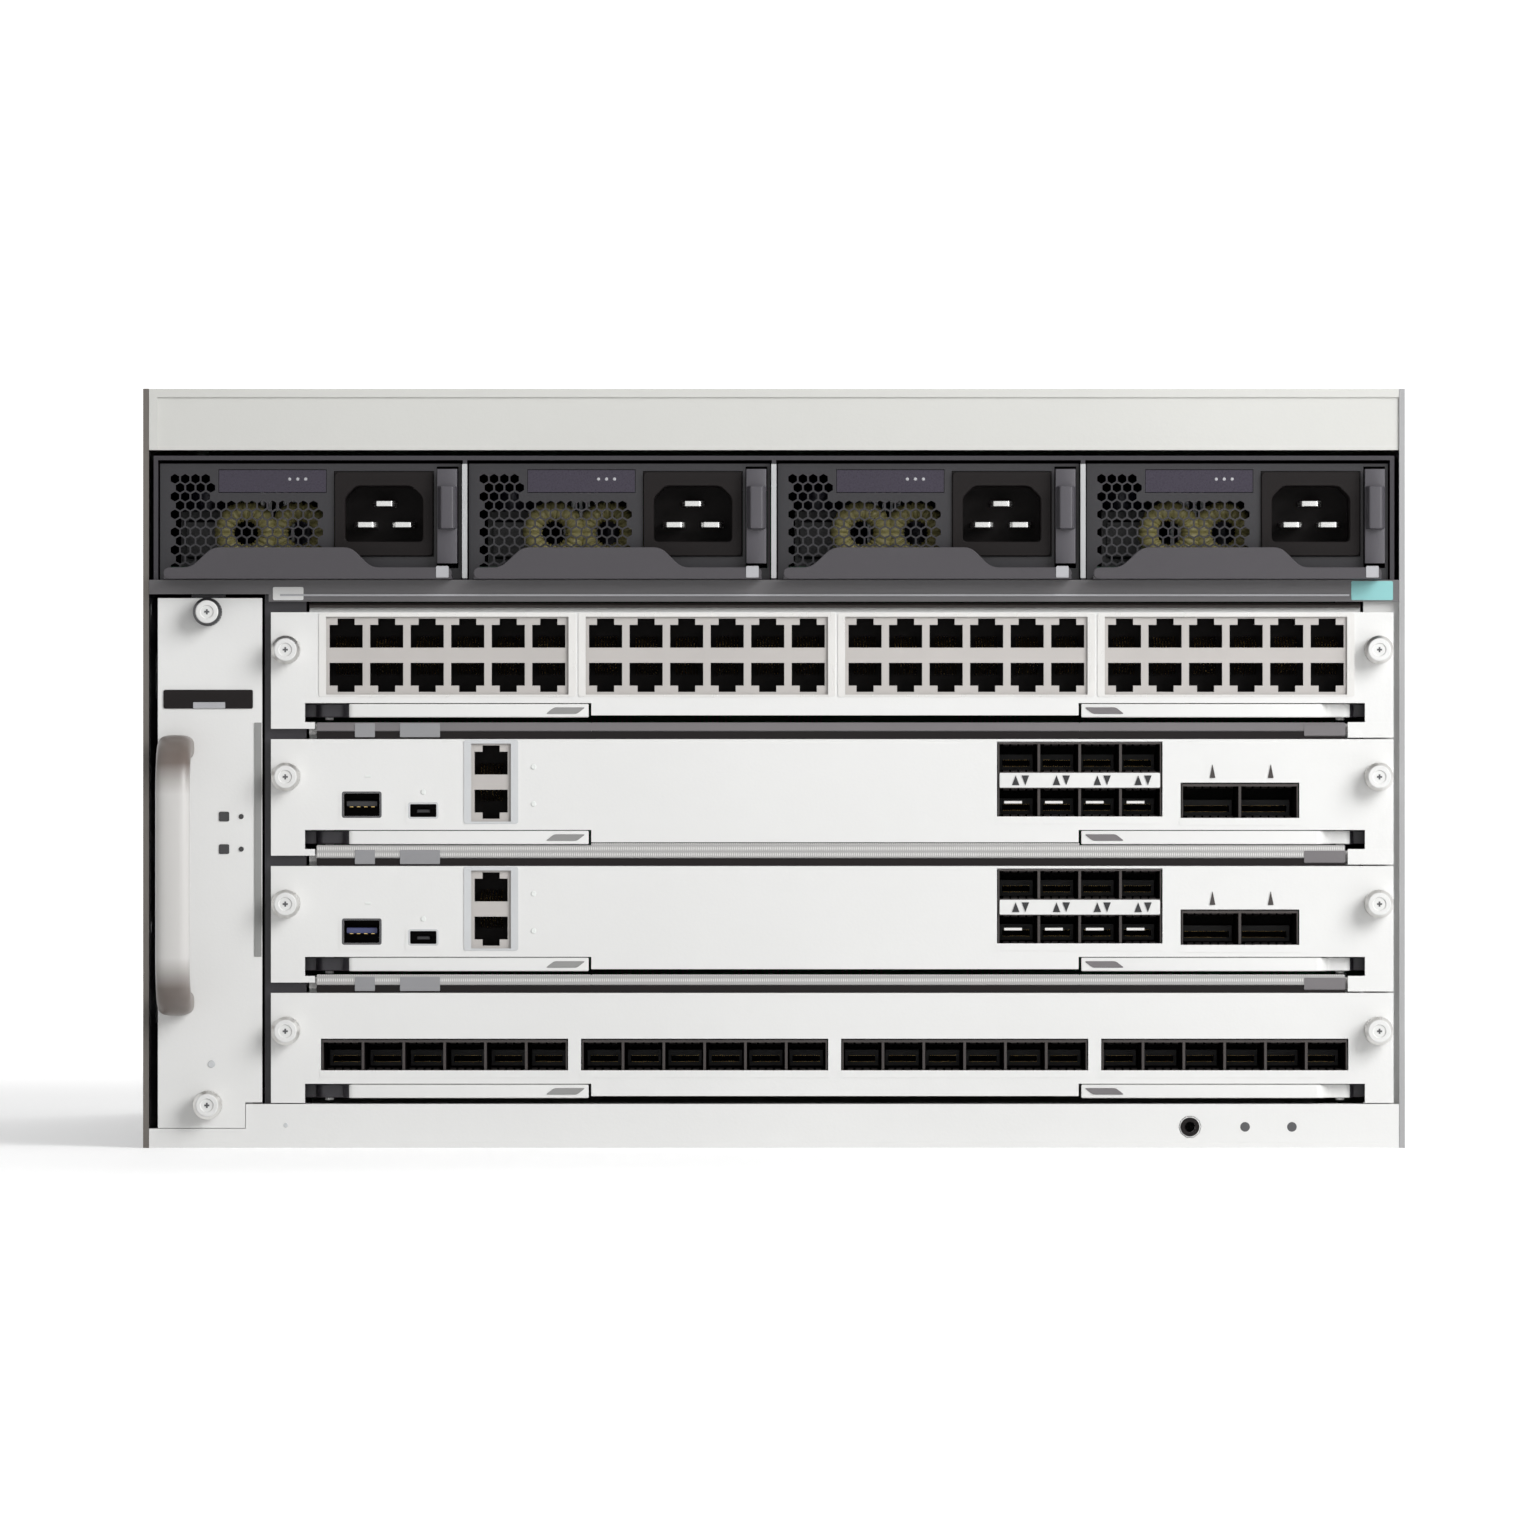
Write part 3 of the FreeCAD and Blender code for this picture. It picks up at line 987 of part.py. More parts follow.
parts += [make_tray_frame(), make_tray_handle(),
          make_thumb_screw("fan_tray_screw_top", TRAY_SCREW, "tray_low + tray_screw_high"),
          make_thumb_screw("fan_tray_screw_bottom", TRAY_SCREW, "tray_low + tray_screw_low")]
for row in (0, 1):
    for column in (0, 1, 2):
        parts.append(make_fan_rotor(f"fan_rotor_{1 + column + 3 * row}", column, row))
for name, slot, fill, sinks in (("line_card_1", 1, copper_card, 1), ("supervisor_2", 2, supervisor_card, 2),
                                ("supervisor_3", 3, supervisor_card, 2), ("line_card_4", 4, fibre_card, 1)):
    parts += make_card(name, slot, fill, sinks)

document.recompute()

for thing in document.Objects:
    assert not {"Invalid", "Error"} & set(thing.State), f"{thing.Label} failed: {thing.State}"
    if thing.TypeId == "PartDesign::Pocket":
        before = thing.BaseFeature or thing.getParentGeoFeatureGroup()
        assert thing.Shape.Volume < before.Shape.Volume - 1e-3, f"{thing.Label} cuts nothing"
for part in parts:
    assert not part.Shape.isNull() and part.Shape.isValid(), f"{part.Label} has no sound solid"
    part.Shape.exportStep(f"parts/{part.Label}.step")
print(len(parts), "sub-parts written")
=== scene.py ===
# %% [markdown]
# # A modular switch chassis
#
# The object is a sheet-metal cage that holds four cards, four power supplies and a tray of fans.  Its
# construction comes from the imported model, which fixes where every part is.  This lesson gives each part the
# finish of the real one, and builds the fine pieces that are too small for the construction model: grilles,
# contacts, knurled screws, fan blades and chips.
#
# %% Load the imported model
import json
import math

import bmesh
import bpy
import numpy as np
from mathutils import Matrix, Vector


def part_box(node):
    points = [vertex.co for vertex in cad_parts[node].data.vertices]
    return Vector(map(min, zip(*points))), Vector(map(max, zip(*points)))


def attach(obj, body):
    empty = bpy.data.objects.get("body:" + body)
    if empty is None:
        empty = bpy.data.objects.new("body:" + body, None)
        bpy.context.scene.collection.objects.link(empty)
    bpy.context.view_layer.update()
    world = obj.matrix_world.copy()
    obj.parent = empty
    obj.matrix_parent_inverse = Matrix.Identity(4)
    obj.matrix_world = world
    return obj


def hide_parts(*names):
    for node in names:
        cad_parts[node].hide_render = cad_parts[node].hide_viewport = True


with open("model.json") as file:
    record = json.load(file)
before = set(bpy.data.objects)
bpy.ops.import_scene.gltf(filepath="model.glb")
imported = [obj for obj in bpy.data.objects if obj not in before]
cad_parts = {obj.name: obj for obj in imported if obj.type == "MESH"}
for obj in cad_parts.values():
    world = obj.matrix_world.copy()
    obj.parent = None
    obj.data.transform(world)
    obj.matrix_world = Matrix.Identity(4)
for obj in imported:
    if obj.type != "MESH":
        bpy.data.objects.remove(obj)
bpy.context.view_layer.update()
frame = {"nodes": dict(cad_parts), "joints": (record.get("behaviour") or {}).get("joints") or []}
MM = 0.001

# %% [markdown]
# Many places below are read off the model.  `span` gives a node's two corners in millimetres, because the parts
# of a chassis are thought of in millimetres, and lengths go back to metres only when a mesh is made.
#
# %% Places read off the model


def span(node):
    """Lowest and highest corner of a node, as two arrays in millimetres."""
    return [np.array(corner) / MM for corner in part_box(node)]


def pivot(joint_name):
    """Where a hinge turns, in millimetres."""
    return next(np.array(joint["pos_m"]) / MM for joint in frame["joints"] if joint["name"] == joint_name)


CARDS = ("line_card_1", "supervisor_2", "supervisor_3", "line_card_4")
SUPPLIES = tuple(f"power_supply_{bay}" for bay in (1, 2, 3, 4))
FRONT = span("top_bezel")[0][1]
BOARD_LEFT = span("line_card_1_board")[0][0]
CARD_LEFT, CARD_RIGHT = span("line_card_1_faceplate")[0][0], span("line_card_1_faceplate")[1][0]
print(f"front face at y {FRONT:.1f} mm, cards from x {CARD_LEFT:.1f} to {CARD_RIGHT:.1f} mm")

# %% [markdown]
# ## Writing a material as arithmetic
#
# A procedural finish is mostly arithmetic on noise and stripes.  Wiring Math nodes by hand hides that, so `Wire`
# wraps a socket and lets Python's own operators add the nodes.  `Finish` is one material: a Principled shader
# with a single method that adds any other node.  Each operator adds the Math node of the same meaning, and the
# reflected forms, such as `__rsub__`, let a plain number stand first.
#
# %% A socket that understands + - * /


class Wire:
    """The value on a socket; arithmetic on it adds Math nodes to the same material."""

    def __init__(self, finish, socket):
        self.finish, self.socket = finish, socket

    def math(self, operation, *others):
        return self.finish.node("ShaderNodeMath", {"operation": operation}, dict(enumerate((self, *others))))

    def __rsub__(self, other):
        return self.finish.node("ShaderNodeMath", {"operation": "SUBTRACT"}, {0: other, 1: self})


for sign, operation in (("add", "ADD"), ("radd", "ADD"), ("sub", "SUBTRACT"), ("mul", "MULTIPLY"),
                        ("rmul", "MULTIPLY"), ("truediv", "DIVIDE"), ("gt", "GREATER_THAN")):
    setattr(Wire, f"__{sign}__", lambda self, other, operation=operation: self.math(operation, other))
print("a wire understands + - * / and >")

# %% A material


class Finish:
    """One material: a Principled shader and the pattern that drives it."""

    def __init__(self, name, colour, roughness, metallic=0.0):
        self.material = bpy.data.materials.new(name)
        self.material.use_nodes = True
        self.tree = self.material.node_tree
        self.shader = self.tree.nodes["Principled BSDF"]
        self.material.diffuse_color = (*colour, 1)
        self.set("Base Color", (*colour, 1))
        self.set("Roughness", roughness)
        self.set("Metallic", metallic)

    def node(self, kind, settings=None, inputs=None, output=0):
        """Any node: its settings first, such as an operation, then a value or a link for each input."""
        made = self.tree.nodes.new(kind)
        for name, value in (settings or {}).items():
            setattr(made, name, value)
        for key, value in (inputs or {}).items():
            self.feed(made.inputs[key], value)
        return Wire(self, made.outputs[output])

    def feed(self, socket, value):
        """Give a socket a value or a pattern."""
        if isinstance(value, Wire):
            self.tree.links.new(value.socket, socket)
        else:
            socket.default_value = value

    def set(self, name, value):
        """Give an input of the shader a value or a pattern."""
        self.feed(self.shader.inputs[name], value)
        return self

    def place(self):
        """Object coordinates, in metres."""
        return self.node("ShaderNodeTexCoord", output="Object")

    def stretched(self, scale):
        """Object coordinates multiplied axis by axis."""
        return self.node("ShaderNodeMapping", None, {"Vector": self.place(), "Scale": scale})

    def noise(self, scale, detail=3.0, stretch=None):
        """Cloudy noise from 0 to 1; the scale is in features per metre."""
        where = self.stretched(stretch) if stretch else self.place()
        return self.node("ShaderNodeTexNoise", None, {"Vector": where, "Scale": scale, "Detail": detail})

    def mix(self, amount, colour_a, colour_b):
        """A blend of two colours."""
        settings = {"data_type": "RGBA"}
        colours = [(*c, 1) if isinstance(c, tuple) else c for c in (colour_a, colour_b)]
        return self.node("ShaderNodeMix", settings, {0: amount, 6: colours[0], 7: colours[1]}, output=2)

    def bump(self, height, depth):
        """Raise the surface by a pattern, whose full height is a depth in metres."""
        made = self.node("ShaderNodeBump", None, {"Height": height, "Distance": depth, "Strength": 1.0})
        return self.set("Normal", made)


print("shader helpers ready")

# %% [markdown]
# ## Finishes of metal and plastic
#
# Powder coat is never quite flat.  The powder melts into a fine orange peel, a millimetre or so across, and the
# film is a little glossier where it is thick.  So the finish has three layers of noise: a broad one that shifts
# the shade by one or two percent, a middle one for the gloss, and a fine one for the peel.
#
# %% Powder coat


def powder_coat(name, colour, roughness, peel=0.00003):
    """Shade = colour x 0.94 to 1.03 by a broad noise; gloss = roughness +- 0.06; peel = height of the fine bump."""
    finish = Finish(name, colour, roughness)
    broad, fine = finish.noise(9, 2), finish.noise(900, 2)
    darker = tuple(0.94 * part for part in colour)
    finish.set("Base Color", finish.mix(broad, darker, tuple(min(1, 1.03 * part) for part in colour)))
    finish.set("Roughness", roughness - 0.06 + 0.12 * finish.noise(60, 4))
    return finish.bump(fine, peel)


pale_paint = powder_coat("pale_powder_coat", (0.72, 0.72, 0.71), 0.46)
side_paint = powder_coat("grey_powder_coat", (0.46, 0.465, 0.47), 0.5)
dark_paint = powder_coat("charcoal_powder_coat", (0.021, 0.019, 0.024), 0.42)
bezel_paint = powder_coat("warm_grey_powder_coat", (0.58, 0.58, 0.555), 0.46)
# The next two colours are painted shade on the side panels' front hems.
left_hem_shade = powder_coat("umber_painted_shade", (0.125, 0.112, 0.10), 0.5)
right_hem_shade = powder_coat("ash_painted_shade", (0.34, 0.34, 0.345), 0.5)
shelf_paint = powder_coat("lead_powder_coat", (0.108, 0.104, 0.108), 0.45)
case_paint = powder_coat("graphite_powder_coat", (0.011, 0.010, 0.013), 0.42)
lip_paint = powder_coat("slate_powder_coat", (0.045, 0.041, 0.047), 0.40)
print("powder coats from", pale_paint.material.name, "to", lip_paint.material.name)

# %% [markdown]
# Bare metal parts are zinc- or nickel-plated.  A rolled sheet keeps the marks of the roll, which run one way, so
# its noise is stretched along that way and drives roughness and a very shallow bump.
#
# %% Plated sheet and turned metal


def plated(name, colour, roughness, stretch, grain=0.000006):
    """Shade = colour x 0.82 to 1 in clouds; gloss = roughness +- 0.08 along streaks, raised by the grain."""
    finish = Finish(name, colour, roughness, 1.0)
    streak = finish.noise(1.0, 3, stretch)
    cloud = finish.noise(35, 3)
    finish.set("Base Color", finish.mix(cloud, tuple(0.82 * part for part in colour), colour))
    finish.set("Roughness", roughness - 0.08 + 0.16 * streak)
    return finish.bump(streak, grain)


zinc = plated("zinc_sheet", (0.56, 0.57, 0.58), 0.38, (120, 6, 1800))
shield = plated("nickel_shield", (0.74, 0.73, 0.71), 0.30, (1800, 60, 120))
screw_steel = plated("nickel_screw", (0.70, 0.70, 0.69), 0.28, (900, 900, 900))
lever_metal = plated("satin_aluminium", (0.74, 0.745, 0.75), 0.40, (60, 1500, 1500))
gold = plated("gold_contact", (0.86, 0.62, 0.24), 0.26, (300, 300, 300))

cage_steel = plated("dulled_cage_steel", (0.075, 0.068, 0.066), 0.5, (1800, 60, 120))
# Dark steel: real dark parts, and painted shade in screw recesses and on the top tray screw's knurl.
dark_steel = plated("dark_steel_and_painted_shade", (0.12, 0.12, 0.125), 0.38, (900, 900, 900))
print("plated metals from", zinc.material.name, "to", dark_steel.material.name)

# %% [markdown]
# Moulded plastic has a spark-eroded texture: a fine, even grain with no direction.
#
# %% Moulded plastic


def moulded(name, colour, roughness, grain=0.00002, scale=1500):
    """Shade = colour x 0.85 to 1 in clouds; gloss = roughness +- 0.05 with a fine noise, raised by the grain."""
    finish = Finish(name, colour, roughness)
    fine = finish.noise(scale, 2)
    finish.set("Base Color", finish.mix(finish.noise(40, 2), tuple(0.85 * part for part in colour), colour))
    finish.set("Roughness", roughness - 0.05 + 0.1 * fine)
    return finish.bump(fine, grain)


black_plastic = moulded("black_nylon", (0.012, 0.012, 0.014), 0.42)
grey_plastic = moulded("grey_nylon", (0.42, 0.42, 0.44), 0.48)
# A near-black plastic, used for real black sockets and as painted shade in mouths, holes and the gaps at the gaskets'
# feet.
black_and_painted_shade = moulded("black_socket_and_painted_shade", (0.010, 0.008, 0.008), 0.6).set("Specular IOR Level", 0.15)
jack_face = moulded("cream_nylon", (0.50, 0.475, 0.455), 0.45)
# A dark grey rubber, also used as painted shade at the right lever tips and on the strip under the first card.
dark_rubber_and_shade = moulded("dark_rubber_and_shade", (0.16, 0.15, 0.155), 0.6)
smoked_lens = moulded("smoked_lens", (0.035, 0.034, 0.036), 0.25, 0.000004)
violet_grey = moulded("violet_grey_nylon", (0.064, 0.060, 0.070), 0.45)
violet_pane = moulded("violet_smoked_pane", (0.022, 0.016, 0.032), 0.28, 0.000004)
clip_nylon = moulded("clip_nylon", (0.27, 0.27, 0.28), 0.5)
# A dark colour used only as painted shade, on the first card's gasket under the shelf.
painted_gap_shade = moulded("painted_gap_shade", (0.040, 0.032, 0.029), 0.75)
# A grey used only as painted shade: on the tray's right edge and at the left lever tips.
painted_grey_shade = moulded("painted_grey_shade", (0.27, 0.27, 0.265), 0.6)
white_cap = moulded("white_cap", (0.74, 0.74, 0.73), 0.40)
lamp_lens = moulded("lamp_lens", (0.80, 0.82, 0.80), 0.22, 0.000004)
blue_plastic = moulded("blue_insert", (0.055, 0.065, 0.16), 0.4)
teal_label = moulded("teal_label", (0.24, 0.52, 0.52), 0.5, 0.000008, 400)
print("plastics from", black_plastic.material.name, "to", teal_label.material.name)

# %% [markdown]
# A circuit board is glass cloth in green resin.  Its copper tracks show through the solder mask as slightly
# paler lines, mostly along one axis on each side of the board, so two stripe patterns of different pitch are
# broken up by a coarse noise, and their edges are raised a little.
#
# %% Circuit board


def circuit_board():
    """Track = stripes along X on some patches and along Y on the others, where they pass 0.62."""
    finish = Finish("board_laminate", (0.012, 0.075, 0.035), 0.34)
    across = finish.node("ShaderNodeTexWave", {"wave_type": "BANDS", "bands_direction": "X"},
                         {"Vector": finish.place(), "Scale": 190.0, "Distortion": 0.0})
    along = finish.node("ShaderNodeTexWave", {"wave_type": "BANDS", "bands_direction": "Y"},
                        {"Vector": finish.place(), "Scale": 150.0, "Distortion": 0.0})
    patch = finish.noise(45, 0) > 0.5
    track = (across * patch + along * (1 - patch)) > 0.62
    finish.set("Base Color", finish.mix(track, (0.010, 0.060, 0.028), (0.020, 0.125, 0.055)))
    finish.set("Roughness", 0.36 - 0.1 * track)
    return finish.bump(track, 0.00003)


laminate = circuit_board()
print("board:", laminate.material.name)

# %% [markdown]
# The grey strips between the cards are spring gaskets: foam wrapped in a metallised cloth.  Two stripe patterns
# multiplied together make the weave.
#
# %% Gasket cloth


def gasket_cloth():
    """Weave = warp x weft, which blends a darker grey into a paler one."""
    finish = Finish("gasket_cloth", (0.30, 0.295, 0.29), 0.5, 0.35)
    warp = finish.node("ShaderNodeTexWave", {"bands_direction": "X"},
                       {"Vector": finish.place(), "Scale": 420.0, "Distortion": 0.4})
    weft = finish.node("ShaderNodeTexWave", {"bands_direction": "DIAGONAL"},
                       {"Vector": finish.stretched((0, 1, 1)), "Scale": 300.0, "Distortion": 0.4})
    weave = warp * weft
    finish.set("Base Color", finish.mix(weave, (0.34, 0.335, 0.33), (0.62, 0.615, 0.60)))
    finish.set("Roughness", 0.42 + 0.2 * weave)
    return finish.bump(weave, 0.00006)


gasket = gasket_cloth()
print("gasket:", gasket.material.name)

# %% [markdown]
# ## Surfaces as arrays
#
# Every new piece below is a set of surfaces worked out with numpy.  A `Shape` holds points in millimetres and
# faces by index, and knows how to copy itself to many places at once.  A `Piece` gathers shapes with their
# finishes and becomes one Blender object that stays at the origin: the place that its shapes are measured from is
# added to their points, so it ends up in the mesh.
#
# %% Shapes


class Shape:
    """Points (n, 3) in millimetres and a list of face arrays, each (m, corners)."""

    def __init__(self, points, faces):
        self.points, self.faces = np.asarray(points, float), [np.asarray(group, int) for group in faces]

    def at(self, *places):
        """One copy at each place: the points are shifted and the face indices follow."""
        places = np.asarray(places, float).reshape(-1, 3)
        points = (places[:, None, :] + self.points[None]).reshape(-1, 3)
        steps = np.arange(len(places))[:, None, None] * len(self.points)
        return Shape(points, [(steps + group[None]).reshape(-1, group.shape[1]) for group in self.faces])

    def turned(self, axis, degrees):
        """Turned about an axis through the origin, 0 for X, 1 for Y, 2 for Z."""
        one, two = (axis + 1) % 3, (axis + 2) % 3
        sine, cosine = math.sin(math.radians(degrees)), math.cos(math.radians(degrees))
        points = self.points.copy()
        points[:, one] = cosine * self.points[:, one] - sine * self.points[:, two]
        points[:, two] = sine * self.points[:, one] + cosine * self.points[:, two]
        return Shape(points, self.faces)

    def __add__(self, other):
        return Shape(np.vstack((self.points, other.points)),
                     self.faces + [group + len(self.points) for group in other.faces])


def closed(points, faces):
    """A shape with doubled points merged and its faces turned outwards."""
    mesh = bpy.data.meshes.new("closing")
    loops = [face for group in faces for face in np.asarray(group).tolist()]
    mesh.from_pydata(np.asarray(points).tolist(), [], loops)
    work = bmesh.new()
    work.from_mesh(mesh)
    bpy.data.meshes.remove(mesh)
    bmesh.ops.remove_doubles(work, verts=work.verts, dist=0.0005)
    bmesh.ops.recalc_face_normals(work, faces=work.faces)
    work.verts.index_update()
    points = np.array([vertex.co for vertex in work.verts])
    by_size = {}
    for face in work.faces:
        by_size.setdefault(len(face.verts), []).append([vertex.index for vertex in face.verts])
    work.free()
    return Shape(points, list(by_size.values()))


print("shapes ready")

# %% Pieces
SHARP_ANGLE = math.radians(32)


class Piece:
    """One object: shapes measured from one place, and their finishes, gathered and then built in one go."""

    def __init__(self, name, place=(0, 0, 0)):
        self.name, self.place, self.parts = name, place, []

    def add(self, shape, finish, *others):
        """A shape in one finish; others are (finish, test) for faces whose middles pass the test."""
        self.parts.append((shape.at(self.place), finish, others))
        return self

    def box(self, low, high, finish, edge=0.2):
        """An eased block between two corners."""
        return self.add(block(low, high, edge), finish)

    def chips(self, shapes, places):
        """Packages with leads, a copy at each place."""
        package, leads = shapes
        return self.add(package.at(*places), black_plastic).add(leads.at(*places), shield)

    def done(self, body, slot, hides=()):
        """Make the mesh, in metres, and let it ride on its body."""
        points = np.vstack([shape.points for shape, _, _ in self.parts]) * MM
        looks = list(dict.fromkeys(look for _, finish, others in self.parts
                                   for look in (finish, *(other for other, _ in others))))
        corners, sizes, painted, first = [], [], [], 0
        for shape, finish, others in self.parts:
            for group in shape.faces:
                corners.append((group + first).ravel())
                sizes.append(np.full(len(group), group.shape[1]))
                index = np.full(len(group), looks.index(finish))
                for other, test in others:
                    index[test(shape.points[group].mean(1))] = looks.index(other)
                painted.append(index)
            first += len(shape.points)
        corners, sizes, painted = map(np.concatenate, (corners, sizes, painted))
        mesh = bpy.data.meshes.new(self.name)
        mesh.vertices.add(len(points))
        mesh.vertices.foreach_set("co", points.astype(np.float32).ravel())
        mesh.loops.add(len(corners))
        mesh.loops.foreach_set("vertex_index", corners.astype(np.int32))
        mesh.polygons.add(len(sizes))
        mesh.polygons.foreach_set("loop_start", (np.cumsum(sizes) - sizes).astype(np.int32))
        mesh.polygons.foreach_set("material_index", painted.astype(np.int32))
        mesh.update(calc_edges=True)
        mesh.validate()
        for finish in looks:
            mesh.materials.append(finish.material)
        mesh.shade_smooth()
        mesh.set_sharp_from_angle(angle=SHARP_ANGLE)
        piece = bpy.data.objects.new(self.name, mesh)
        bpy.context.scene.collection.objects.link(piece)
        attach(piece, body)
        if hides:
            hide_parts(*hides)
        print(f"{self.name}: {int((sizes - 2).sum())} triangles on {body}")
        return piece


# %% [markdown]
# Three kinds of surface are enough for nearly everything here: a grid, whose points are a function of two
# parameters; a turned part, which is a grid with one parameter an angle; and a plate, which is a flat outline
# with holes, given a thickness.  Blender's own flat curves fill an outline with holes well, so a plate borrows
# that and takes the filled mesh back as arrays.
#
# %% Grids, turned parts and plates


def grid(points, wrap_u=False, wrap_v=False):
    """Quads over points (rows, columns, 3); a wrapped direction joins its last line to its first."""
    rows, columns = points.shape[:2]
    u = np.arange(rows if wrap_u else rows - 1)[:, None]
    v = np.arange(columns if wrap_v else columns - 1)[None, :]
    index = lambda a, b: (a % rows) * columns + b % columns
    quads = np.stack([index(u, v), index(u + 1, v), index(u + 1, v + 1), index(u, v + 1)], -1)
    return closed(points.reshape(-1, 3), [quads.reshape(-1, 4)])


def turned_part(profile, sides=32, flutes=0, flute_depth=0.0, fluted=(0, 0)):
    """A profile of (radius, y) turned about Y.

    Point = (r cos a, y, r sin a); between two heights the radius is cut by flute_depth (1 + cos(n a)) / 2.
    """
    radius, along = np.asarray(profile, float).T[:, :, None]
    angle = np.linspace(0, 2 * np.pi, sides, endpoint=False)[None]
    low, high = fluted
    inside = ((along > low) & (along < high)).astype(float)
    radius = radius - inside * flute_depth * (1 + np.cos(flutes * angle)) / 2
    points = np.stack([radius * np.cos(angle), along + 0 * angle, radius * np.sin(angle)], -1)
    return grid(points, wrap_v=True)


def plate(outlines, thick, plane="front", level=0.0, edge=0.0):
    """A flat outline with holes, thickened from its level towards the positive end of the plane's axis.

    The first outline is the outside.  An edge eases every rim by a small chamfer of that width.
    """
    curve = bpy.data.curves.new("outline", "CURVE")
    curve.dimensions, curve.fill_mode = "2D", "BOTH"
    curve.extrude, curve.bevel_depth, curve.bevel_resolution = thick / 2 - edge, edge, 0
    curve.offset = -edge
    for outline in outlines:
        spline = curve.splines.new("POLY")
        spline.points.add(len(outline) - 1)
        flat = np.zeros((len(outline), 4))
        flat[:, :2] = outline
        spline.points.foreach_set("co", flat.ravel())
        spline.use_cyclic_u = True
    holder = bpy.data.objects.new("outline", curve)
    mesh = bpy.data.meshes.new_from_object(holder)
    points = np.zeros(len(mesh.vertices) * 3)
    mesh.vertices.foreach_get("co", points)
    across, up, through = points.reshape(-1, 3).T
    through = level + thick / 2 + through
    faces = [tuple(face.vertices) for face in mesh.polygons]
    bpy.data.objects.remove(holder)
    bpy.data.curves.remove(curve)
    bpy.data.meshes.remove(mesh)
    order = {"front": (across, through, up), "side": (through, across, up), "plan": (across, up, through)}
    by_size = [[face for face in faces if len(face) == size] for size in (3, 4)]
    return closed(np.stack(order[plane], -1), [group for group in by_size if group])


def box_outline(left, low, right, high, round_by=0.0, steps=3):
    """A rectangle, its corners rounded by quarter circles where a radius is given."""
    if not round_by:
        return np.array([(left, low), (right, low), (right, high), (left, high)], float)
    turn = np.linspace(0, np.pi / 2, steps + 1)
    corners = [(right - round_by, high - round_by, 0), (left + round_by, high - round_by, 1),
               (left + round_by, low + round_by, 2), (right - round_by, low + round_by, 3)]
    return np.vstack([np.stack([x + round_by * np.cos(turn + quarter * np.pi / 2),
                                y + round_by * np.sin(turn + quarter * np.pi / 2)], -1)
                      for x, y, quarter in corners])


def ring_outline(x, y, radius, sides=24, start=0.0):
    """A circle, or a regular polygon with few sides."""
    turn = np.linspace(0, 2 * np.pi, sides, endpoint=False) + math.radians(start)
    return np.stack([x + radius * np.cos(turn), y + radius * np.sin(turn)], -1)


def softened(outline, radius, steps=4):
    """A polygon with its corners rounded.

    Each corner C becomes a quadratic curve (1-t)^2 A + 2t(1-t) C + t^2 B between points A and B that lie a
    radius away from C along its two sides.
    """
    outline = np.asarray(outline, float)

    def toward(other):
        way = other - outline
        return (outline + way * np.minimum(radius / np.linalg.norm(way, axis=1, keepdims=True), 0.45))[:, None]

    t = np.linspace(0, 1, steps + 1)[None, :, None]
    start, end = toward(np.roll(outline, 1, 0)), toward(np.roll(outline, -1, 0))
    return ((1 - t) ** 2 * start + 2 * t * (1 - t) * outline[:, None] + t ** 2 * end).reshape(-1, 2)


def honeycomb(left, low, right, high, pitch, web, clear=()):
    """Outlines of the hexagonal holes that fit a field, in staggered rows.

    Neighbours stand one pitch apart and rows pitch * sqrt(3) / 2, so the web between them is even.  A hole that
    would reach a rectangle in clear is left out.
    """
    radius, rise = (pitch - web) / math.sqrt(3), pitch * math.sqrt(3) / 2
    holes = []
    for row in range(int((high - low - 2 * radius) / rise) + 1):
        up = low + radius + row * rise
        for across in np.arange(left + pitch / 2 * (1 + row % 2), right - pitch / 2 + 0.01, pitch):
            if all(across + radius < a or across - radius > c or up + radius < b or up - radius > d
                   for a, b, c, d in clear):
                holes.append(ring_outline(across, up, radius, 6, 30))
    return holes


def block(low, high, edge=0.2):
    """A box between two corners, its edges eased."""
    return plate([box_outline(low[0], low[1], high[0], high[1])], high[2] - low[2], "plan", low[2], edge)


def peg(middle, radius, length, axis=1, sides=20, ease=0.15):
    """A round peg that starts at a point and runs along an axis."""
    ease = min(ease, radius / 3, length / 3)
    profile = [(0, 0), (radius - ease, 0), (radius, ease),
               (radius, length - ease), (radius - ease, length), (0, length)]
    return turned_part(profile, sides).turned(*{0: (2, -90), 1: (2, 0), 2: (0, 90)}[axis]).at(middle)


print("surfaces ready")

# %% [markdown]
# ## Finishes on the construction model
#
# Most sheet-metal parts already have their true shape, so they only need a finish.  Some nodes join more than one
# material, such as a card's face with its gasket, or a board with its sockets, so each face of the mesh picks its
# finish by where it lies.
#
# %% Paint a node


def paint(node, first, *others):
    """Give a node its main finish, and others where a test on each face's corners is true."""
    mesh = frame["nodes"][node].data
    mesh.materials.clear()
    for finish in (first, *(finish for finish, test in others)):
        mesh.materials.append(finish.material)
    if not others:
        return
    points = np.zeros(len(mesh.vertices) * 3)
    mesh.vertices.foreach_get("co", points)
    corner = np.zeros(len(mesh.loops), int)
    mesh.loops.foreach_get("vertex_index", corner)
    corners = points.reshape(-1, 3)[corner.reshape(-1, 3)] / MM
    index = np.zeros(len(mesh.polygons), int)
    for place, (finish, test) in enumerate(others, start=1):
        index[test(corners)] = place
    mesh.polygons.foreach_set("material_index", index)


def beyond(axis, value, side=1):
    """A test: every corner of the face is past a value along an axis."""
    return lambda corners: (side * (corners[:, :, axis] - value) > -0.01).all(1)


